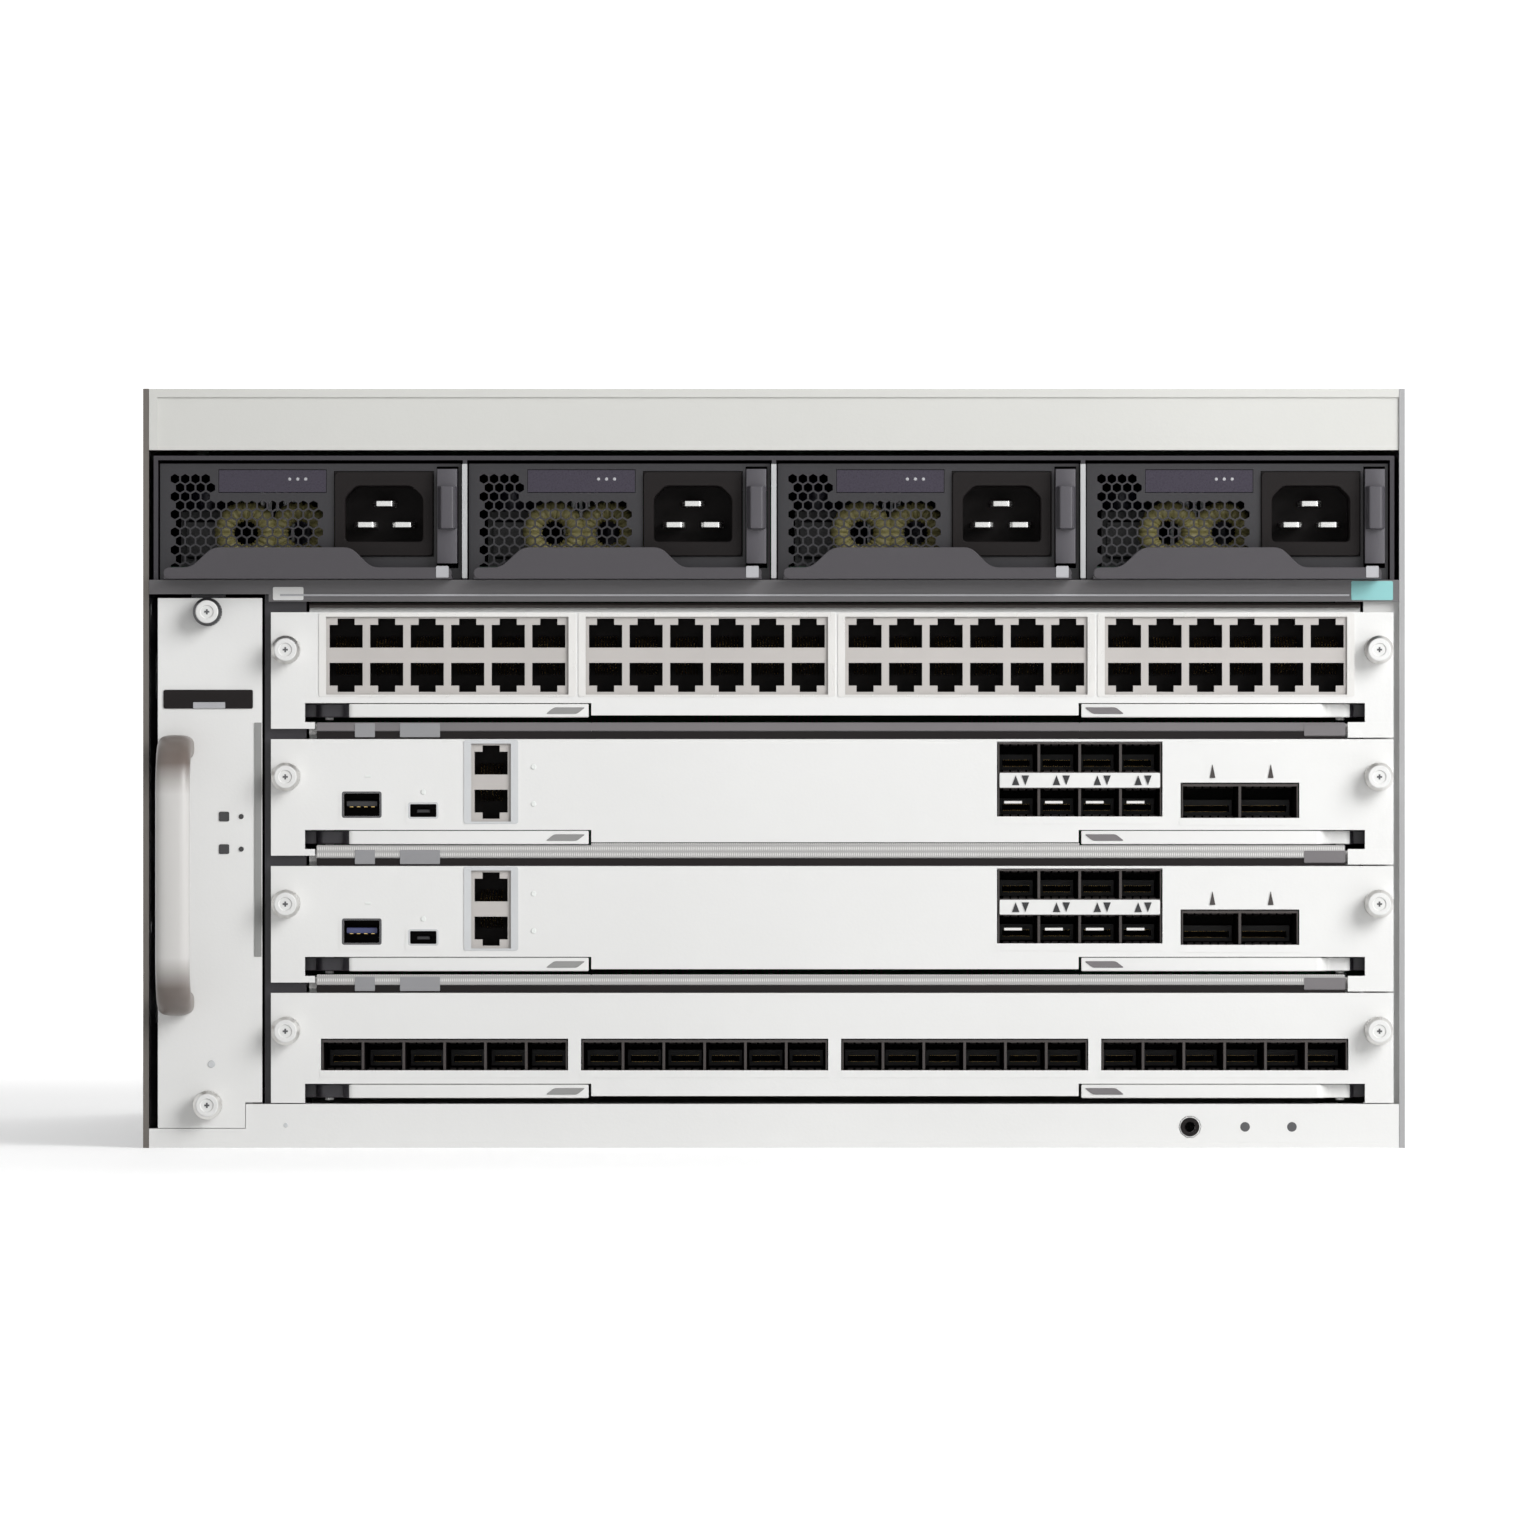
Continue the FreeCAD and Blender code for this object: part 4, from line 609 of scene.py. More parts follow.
X, Y, Z = 0, 1, 2
TRAY_FACE, HEM_FACE, SHEET_FACE, PAN_FACE, SHELF_FACE = FRONT + np.array((6, 1.5, 5.2, 13, 3))
SHELF_LIP_TOP, PLUG_DEEP = 199.3, 4
paint("top_bezel", bezel_paint)
paint("fan_tray_frame", pale_paint, (black_plastic, beyond(Y, TRAY_FACE)))
# Each side panel's front hem is painted darker than the panel, umber on the left and grey on the right: painted
# shade.
for side, hem in (("left", left_hem_shade), ("right", right_hem_shade)):
    paint(side + "_side_panel", side_paint, (hem, lambda corners: (corners[:, :, Y] < HEM_FACE).all(1)))
for node in ("top_cover", "rear_panel"):
    paint(node, side_paint)
# The fan bay wall's front flange, in the narrow gap beside the tray, is painted dark: painted shade. The right
# guide's front stays pale.
paint("fan_bay_wall", zinc, (dark_paint, beyond(Y, SHEET_FACE, -1)))
paint("right_card_guide", zinc, (pale_paint, beyond(Y, SHEET_FACE, -1)))
paint("base_pan", pale_paint, (zinc, beyond(Y, PAN_FACE)))
paint("power_shelf", dark_paint, (shelf_paint, lambda corners: (corners[:, :, Z] < SHELF_LIP_TOP).all(1)
                                   & (corners[:, :, Y] < SHELF_FACE).all(1)))
paint("backplane", laminate, (black_plastic, beyond(Y, span("backplane")[1][1] - PLUG_DEEP, -1)))
print("chassis painted")

# %% [markdown]
# A card's board and its sockets are one node, so each test asks two things of a face: whether it stands above the
# board, and how far behind the front it lies.  The inside of a mouth gets a near-black finish of its own, because
# almost no light comes back out of it.
#
# %% Cards: gasket, board and sockets
# Heights above a card's own zero: its face and the foot of its gasket, and the two sides of its board.
FACE_TALL, FOOT_TALL = 38.75, 1.7
SHEET_LOW, BOARD_TOP = 8.1, 9.7
# Depths behind the front: of the mouths, of their face, and where sockets end and heat sinks start.
JACK_DEEP, CAGE_DEEP = 13.0, 45.0
SOCKET_FACE = 0.8
SOCKETS_END, SINKS_START = FRONT + 62, FRONT + 100
CONSOLE_RIGHT = CARD_LEFT + 90


def slot_base(name):
    """Height of a card's own zero: its circuit board lies a fixed step above it."""
    return span(name + "_board")[0][2] - SHEET_LOW


def paint_card(name):
    """The face is painted with its gasket in cloth, on the first card a darker painted shade, and a near-black foot
    of painted shade; the board is laminate with shielded sockets.
    """
    base = slot_base(name)
    # The first card's gasket, in the shade under the shelf, is painted dark: painted shade.
    strip_finish = painted_gap_shade if name == "line_card_1" else gasket
    # The foot of the gasket, just above the face, is near black: painted shade in the groove under the gasket.
    paint(name + "_faceplate", pale_paint, (strip_finish, beyond(Z, base + FACE_TALL)),
          (black_and_painted_shade, lambda corners: (corners[:, :, Z] > base + FACE_TALL - 0.01).all(1)
           & (corners[:, :, Z] < base + FACE_TALL + FOOT_TALL).all(1)))
    board = base + BOARD_TOP - 0.05
    deep = JACK_DEEP if name == "line_card_1" else CAGE_DEEP
    socket_front = FRONT + SOCKET_FACE

    def on_socket(corners):
        return (corners[:, :, Z] > board).all(1) & (corners[:, :, Y] < SOCKETS_END).all(1)

    def in_mouth(corners):
        behind = (corners[:, :, Y] < socket_front + deep + 0.1).all(1)
        not_face = (corners[:, :, Y] > socket_front + 0.1).any(1)
        return on_socket(corners) & behind & not_face

    def sinks(corners):
        return (corners[:, :, Z] > board).all(1) & (corners[:, :, Y] > SINKS_START).all(1)

    def is_cage(corners):
        return on_socket(corners) & (name != "line_card_1") & (
            (corners[:, :, X] > CONSOLE_RIGHT).all(1) | (name == "line_card_4"))

    paint(name + "_board", laminate, (lever_metal, sinks), (jack_face, on_socket), (cage_steel, is_cage),
          (black_and_painted_shade, in_mouth))


for card in CARDS:
    paint_card(card)
    for end in ("left", "right"):
        paint(f"{card}_{end}_lever", lever_metal)
        paint(f"{card}_{end}_screw", screw_steel)
for supply in SUPPLIES:
    paint(supply + "_case", dark_paint)
    paint(supply + "_inlet", black_plastic)
    paint(supply + "_core", laminate)
    paint(supply + "_latch", grey_plastic)
for rotor in range(1, 7):
    paint(f"fan_rotor_{rotor}", black_plastic)
for node in ("fan_tray_handle", "fan_tray_screw_top", "fan_tray_screw_bottom"):
    paint(node, screw_steel)
print("cards, supplies and tray painted")

# %% [markdown]
# ## Power supplies
#
# Each supply breathes in through a honeycomb.  Hexagons leave the most open area for a given strength: with a
# pitch p and a web w between holes, the open share is ((p - w) / p)^2, here about 70 percent.  The construction
# model has sixteen large holes in the same field; the real ones are finer, so the whole case is drawn again.
#
# %% Supply case
LIP_FORWARD, WALL = 14.0, 1.0
case_low, case_high = span("power_supply_1_case")
CASE_WIDE, CASE_TALL = (case_high - case_low)[[0, 2]]
SUPPLY_FRONT, SUPPLY_LOW = case_low[1] + LIP_FORWARD, case_low[2]
INLET_WINDOW = (61.0, 8.0, 96.0, 38.0)
LATCH_SLOT = (97.0, 4.0, 104.6, 39.6)
LAMP_WINDOW = (20.5, 30.4, 58.4, 38.6)


def supply_case():
    """Front with its holes, sleeve behind it, and the pull lip on a web below."""
    windows = [box_outline(*corners) for corners in (INLET_WINDOW, LATCH_SLOT, LAMP_WINDOW)]
    keep = [(LAMP_WINDOW[0] - 0.6, LAMP_WINDOW[1] - 0.6, LAMP_WINDOW[2] + 0.6, LAMP_WINDOW[3] + 0.6)]
    holes = honeycomb(3.4, 2.4, 58.6, 38.6, 3.6, 0.6, keep)
    front = plate([box_outline(0, 0, CASE_WIDE, CASE_TALL), *windows, *holes], WALL, "front", 0)
    back = case_high[1] - SUPPLY_FRONT
    sleeve = plate([box_outline(0, 0, CASE_WIDE, CASE_TALL),
                    box_outline(WALL, WALL, CASE_WIDE - WALL, CASE_TALL - WALL)], back - WALL, "front", WALL)
    web = block((2.0, -LIP_FORWARD + 0.5, 0), (CASE_WIDE - 3, 0.2, WALL), 0.1)
    right = CASE_WIDE - 3
    pull = softened([(2, 0), (right, 0), (right, 4), (74.5, 4), (67.5, 11), (19, 11), (11.5, 4), (2, 4)], 2.6)
    lip = plate([pull], WALL, "front", -LIP_FORWARD, 0.2)
    pin = peg((101.5, 44, 0.6), 1.5, CASE_TALL - 1.2, 2, 12)
    return front + sleeve + pin, web + lip


print(f"front of a supply: {CASE_WIDE:.1f} by {CASE_TALL:.1f} mm")

# %% [markdown]
# Behind the honeycomb sit the parts of the mains filter.  A toroidal choke is a ring of ferrite with enamelled
# wire wound through it.  The ring is a torus, and each turn of wire lifts its surface a little, so the small
# radius is r + d |sin(n u / 2)| for n turns.
#
# %% Coils and capacitors
copper = plated("enamelled_copper", (0.55, 0.22, 0.09), 0.34, (400, 400, 400))
tape = moulded("yellow_tape", (0.36, 0.32, 0.13), 0.45)
ferrite = moulded("ferrite", (0.05, 0.05, 0.052), 0.6)
sleeve_blue = moulded("capacitor_sleeve", (0.05, 0.045, 0.09), 0.35)


def toroid(ring, small, turns, rise=0.45, sides=12):
    """A wound ring in the XZ plane: ring is its middle radius, small the radius of its section."""
    u = np.linspace(0, 2 * np.pi, turns * 6, endpoint=False)[:, None]
    v = np.linspace(0, 2 * np.pi, sides, endpoint=False)[None]
    section = small + rise * np.abs(np.sin(turns * u / 2))
    far = ring + section * np.cos(v)
    return grid(np.stack([far * np.cos(u), section * np.sin(v), far * np.sin(u)], -1), True, True)


def finned_sink(wide, deep, high, fins, base=2.5, fin=1.2):
    """An extrusion: its section, base and fins, is one outline drawn in the XZ plane."""
    gap = (wide - fin) / (fins - 1)
    outline = [(0, 0), (wide, 0)]
    for index in range(fins - 1, -1, -1):
        left = gap * index
        outline += [(left + fin, base), (left + fin, high), (left, high), (left, base)]
    outline[2] = (wide, base)
    outline[-1] = (0, base)
    return plate([outline], deep, "front", 0)


def capacitor(radius, high):
    """A can on end: a rolled groove near its foot and a scored top."""
    groove = [(radius, high * 0.08), (radius - 0.5, high * 0.11), (radius, high * 0.14)]
    crimp = [(radius, high - 0.6), (radius - 0.8, high), (radius - 1.2, high - 0.3), (0, high - 0.3)]
    return turned_part([(0, 0), (radius, 0), *groove, *crimp], 28).turned(0, 90)


def chip(wide, deep, high=1.1):
    """A flat package with leads along two sides."""
    body = block((0.4, 0.9, 0.15), (wide - 0.4, deep - 0.9, high), 0.12)
    count = max(2, int((wide - 1.4) / 1.27))
    starts = 0.7 + (wide - 1.4 - (count - 1) * 1.27) / 2 + 1.27 * np.arange(count) - 0.2
    lead = block((0, 0, 0), (0.4, 0.95, 0.4), 0.05)
    leads = lead.at(*[(x, y, 0) for x in starts for y in (0, deep - 0.95)])
    return body, leads


print("electrical parts ready")

# %% [markdown]
# The converter fills the rest of a supply.  It shows through the honeycomb, and its plug shows when a supply is
# pulled out.  A painted block would do for the size, but separate cans, sinks and coils cast the small shadows
# that make the grille look open.
#
# %% Converter inside each supply
CORE_LOW, BOARD_THICK = 3.0, 1.6


def supply_core(name, corner):
    """The converter's board and its parts, at the supply's own corner."""
    deep = span("power_supply_1_core")[1][1] - SUPPLY_FRONT
    top = CORE_LOW + BOARD_THICK
    piece = Piece(name, corner)
    board = plate([[(3, 6), (59, 6), (59, 32), (94, 32), (94, 330), (3, 330)]], BOARD_THICK, "plan", CORE_LOW)
    piece.add(board, laminate)
    rings = toroid(7.6, 3.2, 22)
    piece.add(rings.at((29.5, 13.5, top + 12), (48.5, 14.5, top + 12)), tape)
    low_coils = toroid(5.2, 2.2, 16).turned(0, 90)
    piece.add(low_coils.at((29.5, 26, top + 3), (48.5, 27.5, top + 3)), copper)
    piece.box((6, 26, top), (22, 40, top + 20), ferrite)
    piece.box((8, 25, top + 3), (20, 41, top + 17), black_plastic, 1.0)
    piece.add(capacitor(8.5, 28).at((14, 56, top)), sleeve_blue)
    piece.add(capacitor(8.5, 28).at((14, 78, top)), sleeve_blue)
    piece.add(capacitor(5, 20).at((50, 50, top), (50, 64, top)), sleeve_blue)
    for across in (32, 70):
        piece.add(finned_sink(12, 180, 28, 5, 2).at((across, 70, top)), lever_metal)
    piece.box((48, 110, top), (66, 140, top + 24), ferrite, 0.6)
    piece.box((49.5, 107, top + 3), (64.5, 143, top + 20), tape, 1.4)
    piece.add(capacitor(5, 16).at(*[(x, y, top) for x in (10, 24, 52, 66) for y in (275, 292)]), sleeve_blue)
    piece.chips(chip(12, 8, 1.8), [(30, 262, top), (52, 262, top), (56, 160, top), (56, 180, top)])
    plug_low, plug_high = 14.5, 21.5
    piece.box((32.5, 316, top), (73.5, 332, plug_high), black_plastic, 0.3)
    piece.box((32.5, 330, plug_low), (73.5, deep, plug_high), black_plastic, 0.4)
    blade = block((0, 331, plug_high - 0.05), (1.6, deep - 0.4, plug_high + 0.25), 0.05)
    piece.add(blade.at(*[(34.2 + 3.1 * step, 0, 0) for step in range(13)]), gold)
    return piece


print("converter ready")

# %% [markdown]
# The latch is one springy leaf around its pin, with a thumb pad on the end, and is of even thickness, so a plate
# gives it exactly.  The inlet is a plate with a keyed well for its hole, a floor behind it, and three flat pins.
# A smoked window with three lenses shows the state of the supply.
#
# %% Latch, inlet and lamps of each supply


def supply_latch():
    """A leaf that springs from its pin, and a ribbed thumb pad on its end, from the supply's corner."""
    leaf = plate([softened([(97.2, -5), (104.3, -5), (104.3, 45.4), (102.9, 46.8), (100.1, 46.8), (98.7, 45.4),
                            (98.7, 42.6), (100.1, 41.2), (103.1, 41.2), (103.1, -3.8), (97.2, -3.8)], 0.5, 2),
                  ring_outline(101.5, 44, 1.58, 20)], 33.0, "plan", 5.6)
    low, high = 17.6, 32.6
    thumb = softened([(97.3, -4.6), (98.7, -8.4), (103.0, -8.4), (104.3, -4.6)], 0.6)
    return leaf + plate([thumb], high - low, "plan", low, 0.3)


def inlet_shell():
    """A bevelled socket: its shell with a keyed well, and three flat pins with eased tips."""
    left, low, right, high = 61.2, 8.2, 95.8, 37.8
    well = softened([(64.8, 13.2), (92.2, 13.2), (92.2, 28.8), (88.2, 32.8), (68.8, 32.8), (64.8, 28.8)], 1.6)
    rim = plate([box_outline(left, low, right, high, 1.6), well], 1.5, "front", -1.5, 0.25)
    shell = plate([box_outline(left, low, right, high), well], 17.5, "front", 0)
    floor = block((left, 17.5, low), (right, 28.5, high), 0.2)
    return rim + shell + floor


def inlet_blades():
    """Three flat pins with eased tips: two side by side and the earth pin above them."""
    pin = softened([(-4, 2.5), (-4, 15), (4, 15), (4, 2.5), (2.6, 1), (-2.6, 1)], 0.6)
    blade = plate([pin], 2.0, "plan", -1.0, 0.15)
    blade = Shape(blade.points + (0, 2.6, 0), blade.faces)
    middle, level = 78.5, 19.3
    return blade.at((middle - 6.65, 0, level), (middle + 6.65, 0, level), (middle, 0, level + 7.4))


def status_lamps():
    """A smoked window with three small lenses."""
    left, low, right, high = LAMP_WINDOW
    pane = block((left + 0.15, 0.25, low + 0.15), (right - 0.15, 2.4, high - 0.15), 0.1)
    lens = peg((0, 0.1, high - 3.4), 0.6, 0.8, 1, 12)
    return pane, lens.at(*[(right - 13 + 2.8 * step, 0, 0) for step in range(3)])


case_shape, lip_shape = supply_case()
latch_shape, inlet_shape, blade_shape = supply_latch(), inlet_shell(), inlet_blades()
lamp_bar, lamp_lenses = status_lamps()
for supply in SUPPLIES:
    corner = (span(supply + "_case")[0][0], SUPPLY_FRONT, SUPPLY_LOW)
    case = Piece(supply + "_grille_case", corner)
    case.add(case_shape, case_paint).add(lip_shape, lip_paint)
    case.add(lamp_bar, violet_pane).add(lamp_lenses, grey_plastic)
    case.box((97.2, -LIP_FORWARD - 0.2, 0.3), (101.6, -LIP_FORWARD + 1.2, 4.5), grey_plastic, 0.3)
    case.done(supply, "dark_paint", [supply + "_case"])
    Piece(supply + "_socket", corner).add(inlet_shape, black_and_painted_shade).add(
        blade_shape, screw_steel).done(supply, "black_plastic", [supply + "_inlet"])
    supply_core(supply + "_converter", corner).done(supply, "board_laminate", [supply + "_core"])
    Piece(supply + "_thumb_latch", corner).add(latch_shape, violet_grey).done(
        supply + "_latch", "grey_plastic", [supply + "_latch"])

# %% [markdown]
# ## Cards
#
# Behind each mouth of a modular jack stand eight gold wires.  They rise from the side opposite the latch notch
# and bend back towards it, so each is one slanted bar in the side view, and a jack is eight of them 1.02 mm apart.
#
# %% Jacks and cages
MOUTH_WIDE, JACK_PITCH, JACK_WALL, JACKS_TALL = 11.6, 14.2, 1.3, 27.6
UPPER_FOOT, LOWER_TOP = 16.6, 11.3
CAGE_PITCH, CAGE_WALL = 14.3, 0.45
JACK_GROUPS = [BOARD_LEFT + 6.4 + 90.9 * group for group in range(4)]
CAGE_GROUPS = [BOARD_LEFT + 5.1 + 91.1 * group for group in range(4)]
USB_LEFT, MINI_LEFT, CONSOLE_LEFT = CARD_LEFT + 24.6, CARD_LEFT + 47.8, CARD_LEFT + 70
STACK_LEFT, WIDE_LEFT, WIDE_PITCH = CARD_LEFT + 254.7, CARD_LEFT + 319, 20.4


def jack_wires(sign):
    """Eight wires of one jack; its origin is the mouth's left corner on the side away from the notch."""
    bar = [(2.2, 0.25), (2.6, 0.05), (11.6, 3.5), (11.6, 4.0), (11.0, 4.0)]
    wire = plate([[(y, sign * z) for y, z in bar]], 0.36, "side", 0)
    return wire.at(*[(MOUTH_WIDE / 2 - 3.75 + 1.02 * step, 0, 0) for step in range(8)])


UPPER_WIRES, LOWER_WIRES = jack_wires(1), jack_wires(-1)


def jack_places(lefts, columns, base):
    """Mouth corners for a row of jacks: the upper row stands on its wires, the lower hangs from them."""
    front = FRONT + SOCKET_FACE
    across = [left + JACK_WALL + JACK_PITCH * column for left in lefts for column in range(columns)]
    return ([(x, front, base + BOARD_TOP + UPPER_FOOT) for x in across],
            [(x, front, base + BOARD_TOP + LOWER_TOP) for x in across])


def cage_springs(wide, high):
    """Two rows of grounding fingers inside the mouth of an optic cage, bent inwards."""
    finger = plate([[(0.3, 0), (0.3, -0.15), (4.5, -0.75), (8, -0.15), (8, 0)]], 2.0, "side", 0)
    count = int((wide - 2) // 2.8)
    starts = (wide - (2.8 * count - 0.8)) / 2 + 2.8 * np.arange(count)
    top = finger.at(*[(x, 0, high) for x in starts])
    foot = Shape(finger.points * (1, 1, -1), [group[:, ::-1] for group in finger.faces])
    return top + foot.at(*[(x, 0, 0) for x in starts])


def card_edge_socket(wide):
    """The black connector at the back of a cage, with two rows of gold contacts."""
    slot = box_outline(1.8, 2.0, wide - 1.8, 4.2)
    shell = plate([box_outline(0.8, 0.6, wide - 0.8, 6.2), slot], 7, "front", 37.5)
    blade = block((0, 38, 0), (0.4, 44, 0.35), 0.05)
    steps = 2.2 + 0.8 * np.arange(int((wide - 4.4) / 0.8) + 1)
    return shell, blade.at(*[(x, 0, z) for x in steps for z in (1.75, 4.1)])


print("jack wires:", len(UPPER_WIRES.points), "points for eight")

# %% [markdown]
# Line cards repeat one kind of port, and supervisor cards mix jacks, stacked and wide optic cages and two small
# connectors.  So each kind is fitted by one function that takes the left edges of its rows, and a card is a short
# list of calls.  A thin cover with the mouth cut out of it sharpens the edge of each small connector.
#
# %% Fittings of each card


def fit_jacks(piece, lefts, columns, base):
    """Gold wires for two rows of jacks."""
    upper, lower = jack_places(lefts, columns, base)
    piece.add(UPPER_WIRES.at(*upper), gold).add(LOWER_WIRES.at(*lower), gold)


def fit_cages(piece, lefts, columns, pitch, lows, high):
    """Springs, rear connectors and a painted sill for a row of cages; lows are the mouths' lower edges."""
    front = FRONT + SOCKET_FACE
    places = [(left + CAGE_WALL + pitch * column, front, low)
              for left in lefts for column in range(columns) for low in lows]
    piece.add(cage_springs(pitch - 2 * CAGE_WALL, high).at(*places), cage_steel)
    shell, blades = card_edge_socket(pitch - 2 * CAGE_WALL)
    piece.add(shell.at(*places), black_plastic).add(blades.at(*places), gold)
    sill = block((-0.8, FRONT - 0.12, -2.6), (pitch * columns + 0.8, FRONT, 0), 0.02)
    piece.add(sill.at(*[(left, 0, lows[0]) for left in lefts]), pale_paint)


def jack_frame(left, low, right, high):
    """A plated frame pressed against the face around a block of jacks."""
    outside = box_outline(left - 2.4, low - 0.6, right + 2.4, high + 1.2, 0.8)
    inside = box_outline(left + 0.15, low + 0.15, right - 0.15, high - 0.15, 0.2)
    return plate([outside, inside], 0.25, "front", FRONT - 0.25)


line_jacks = Piece("line_card_1_contacts")
fit_jacks(line_jacks, JACK_GROUPS, 6, slot_base("line_card_1"))
low = slot_base("line_card_1") + BOARD_TOP
for left in JACK_GROUPS:
    line_jacks.add(jack_frame(left, low, left + 6 * JACK_PITCH, low + JACKS_TALL), shield)
line_jacks.done("line_card_1", "board_laminate")
optics = Piece("line_card_4_cage_fittings")
fit_cages(optics, CAGE_GROUPS, 6, CAGE_PITCH, [slot_base("line_card_4") + BOARD_TOP + 1.9], 9.8)
optics.done("line_card_4", "board_laminate")
for card in CARDS[1:3]:
    base = slot_base(card)
    top = base + BOARD_TOP
    ports = Piece(card + "_port_fittings")
    fit_jacks(ports, [CONSOLE_LEFT], 1, base)
    fit_cages(ports, [STACK_LEFT], 4, CAGE_PITCH, [top + 1.9, top + 17.5], 9.8)
    tongue_tab = block((2.2, FRONT + 1.6, top + 6.3), (8.4, FRONT + 6.0, top + 7.5), 0.2)
    ports.add(tongue_tab.at(*[(STACK_LEFT + CAGE_PITCH * column, 0, 0) for column in range(4)]), shield)
    fit_cages(ports, [WIDE_LEFT], 2, WIDE_PITCH, [top + 1.4], 11.1)
    tongue = blue_plastic if card == "supervisor_3" else black_plastic
    ports.box((USB_LEFT + 1.9, FRONT + 2.5, top + 5.4), (USB_LEFT + 12.5, FRONT + 13.5, top + 7.4), tongue, 0.2)
    pads = block((0, FRONT + 3.2, top + 5.15), (1.2, FRONT + 12, top + 5.45), 0.05)
    ports.add(pads.at(*[(USB_LEFT + 2.9 + 2.5 * step, 0, 0) for step in range(4)]), gold)
    ports.box((MINI_LEFT + 3.4, FRONT + 2, top + 3.2), (MINI_LEFT + 7.7, FRONT + 7.6, top + 4.4),
              black_plastic, 0.15)
    ports.add(jack_frame(CONSOLE_LEFT, top, CONSOLE_LEFT + JACK_PITCH, top + JACKS_TALL), zinc)
    for left, wide, low, high, tall in ((USB_LEFT, 14.4, 2.0, 10.1, 11.0), (MINI_LEFT, 11.1, 1.7, 6.3, 7.2)):
        mouth = box_outline(left + 0.95, top + low + 0.05, left + wide - 0.95, top + high - 0.05, 0.4)
        cover = box_outline(left - 0.7, top - 0.7, left + wide + 0.7, top + tall + 0.7, 0.9)
        ports.add(plate([cover, mouth], 0.12, "front", FRONT - 0.12), pale_paint)
        rim = box_outline(left + 0.2, top + low - 0.6, left + wide - 0.2, top + high + 0.6, 0.8)
        ports.add(plate([rim, mouth], 0.9, "front", FRONT - 0.2, 0.1), dark_steel if left == USB_LEFT else zinc)
    ports.done(card, "board_laminate")

# %% [markdown]
# The stacked cages carry a light pipe between their rows: a pale bar with a dark arrowhead for each row of each
# column, pointing at the port whose lamp it is.  The wide cages have their lamps in the face above them.
#
# %% Light pipes and lamps
for card in CARDS[1:3]:
    top = slot_base(card) + BOARD_TOP
    lights = Piece(card + "_light_pipes")
    bar = [box_outline(STACK_LEFT + 0.5, top + 12.0, STACK_LEFT + 4 * CAGE_PITCH - 0.5, top + 17.2, 0.4)]
    lights.add(plate(bar, 1.4, "front", FRONT - 0.5, 0.1), white_cap)
    arrows = []
    for column in range(4):
        middle = STACK_LEFT + CAGE_PITCH * (column + 0.5) + 0.7
        for side, tip in ((-1, 1), (1, -1)):
            x, z = middle + side * 1.7, top + 14.6
            arrows.append(plate([[(x - 1.3, z - 1.7 * tip), (x + 1.3, z - 1.7 * tip), (x, z + 1.7 * tip)][::tip]],
                                0.3, "front", FRONT - 0.75))
    for arrow in arrows:
        lights.add(arrow, black_plastic)
    for column in range(2):
        middle = WIDE_LEFT + WIDE_PITCH * (column + 0.5) + 0.6
        lamp = [(middle - 1.0, top + 15.4), (middle + 1.0, top + 15.4), (middle, top + 20.2)]
        lights.add(plate([softened(lamp, 0.2, 2)], 0.5, "front", FRONT - 0.3), cage_steel)
    lights.box((CARD_LEFT + 33, FRONT - 0.25, top + 15.6), (CARD_LEFT + 35, FRONT + 0.5, top + 16.4),
               lamp_lens, 0.1)
    for across, up in ((53.4, 10.5), (92, 19.3), (92, 6.3)):
        lights.add(peg((CARD_LEFT + across, FRONT - 0.3, top + up), 0.9, 0.8), lamp_lens)
    lights.done(card, "pale_paint")

# %% [markdown]
# A card that is pulled out shows its circuits.  Signals pass from the sockets through small transformers and
# line drivers to a switching chip under a heat sink, and power comes in at the rear through a converter brick,
# coils and capacitors.  Distances run from the board's front left corner.
#
# %% Circuits on the card boards
SWITCH_LEFT = 244


def small_parts(seed, count, left, front, right, back):
    """Ceramic capacitors and resistors 1.6 mm long on a 4 mm grid, some places left empty."""
    places = np.array([(x, y, 0) for x in np.arange(left, right, 4.0) for y in np.arange(front, back, 4.0)])
    picked = np.random.default_rng(seed).permutation(len(places))[:count]
    body = block((0, 0, 0), (1.6, 0.8, 0.5), 0.05)
    half = len(picked) // 2
    return body.at(*places[picked[:half]]), body.at(*places[picked[half:]])


def quad_chip(side, high=1.4):
    """A square package with leads on its four sides."""
    body = block((1, 1, 0.15), (side - 1, side - 1, high), 0.12)
    count = int((side - 3) / 1.0)
    starts = (side - count + 1) / 2 + 1.0 * np.arange(count) - 0.2
    lead = block((0, 0, 0), (0.4, 1.05, 0.4), 0.05)
    rows = lead.at(*[(x, y, 0) for x in starts for y in (0, side - 1.05)])
    lead = block((0, 0, 0), (1.05, 0.4, 0.4), 0.05)
    return body, rows + lead.at(*[(x, y, 0) for y in starts for x in (0, side - 1.05)])


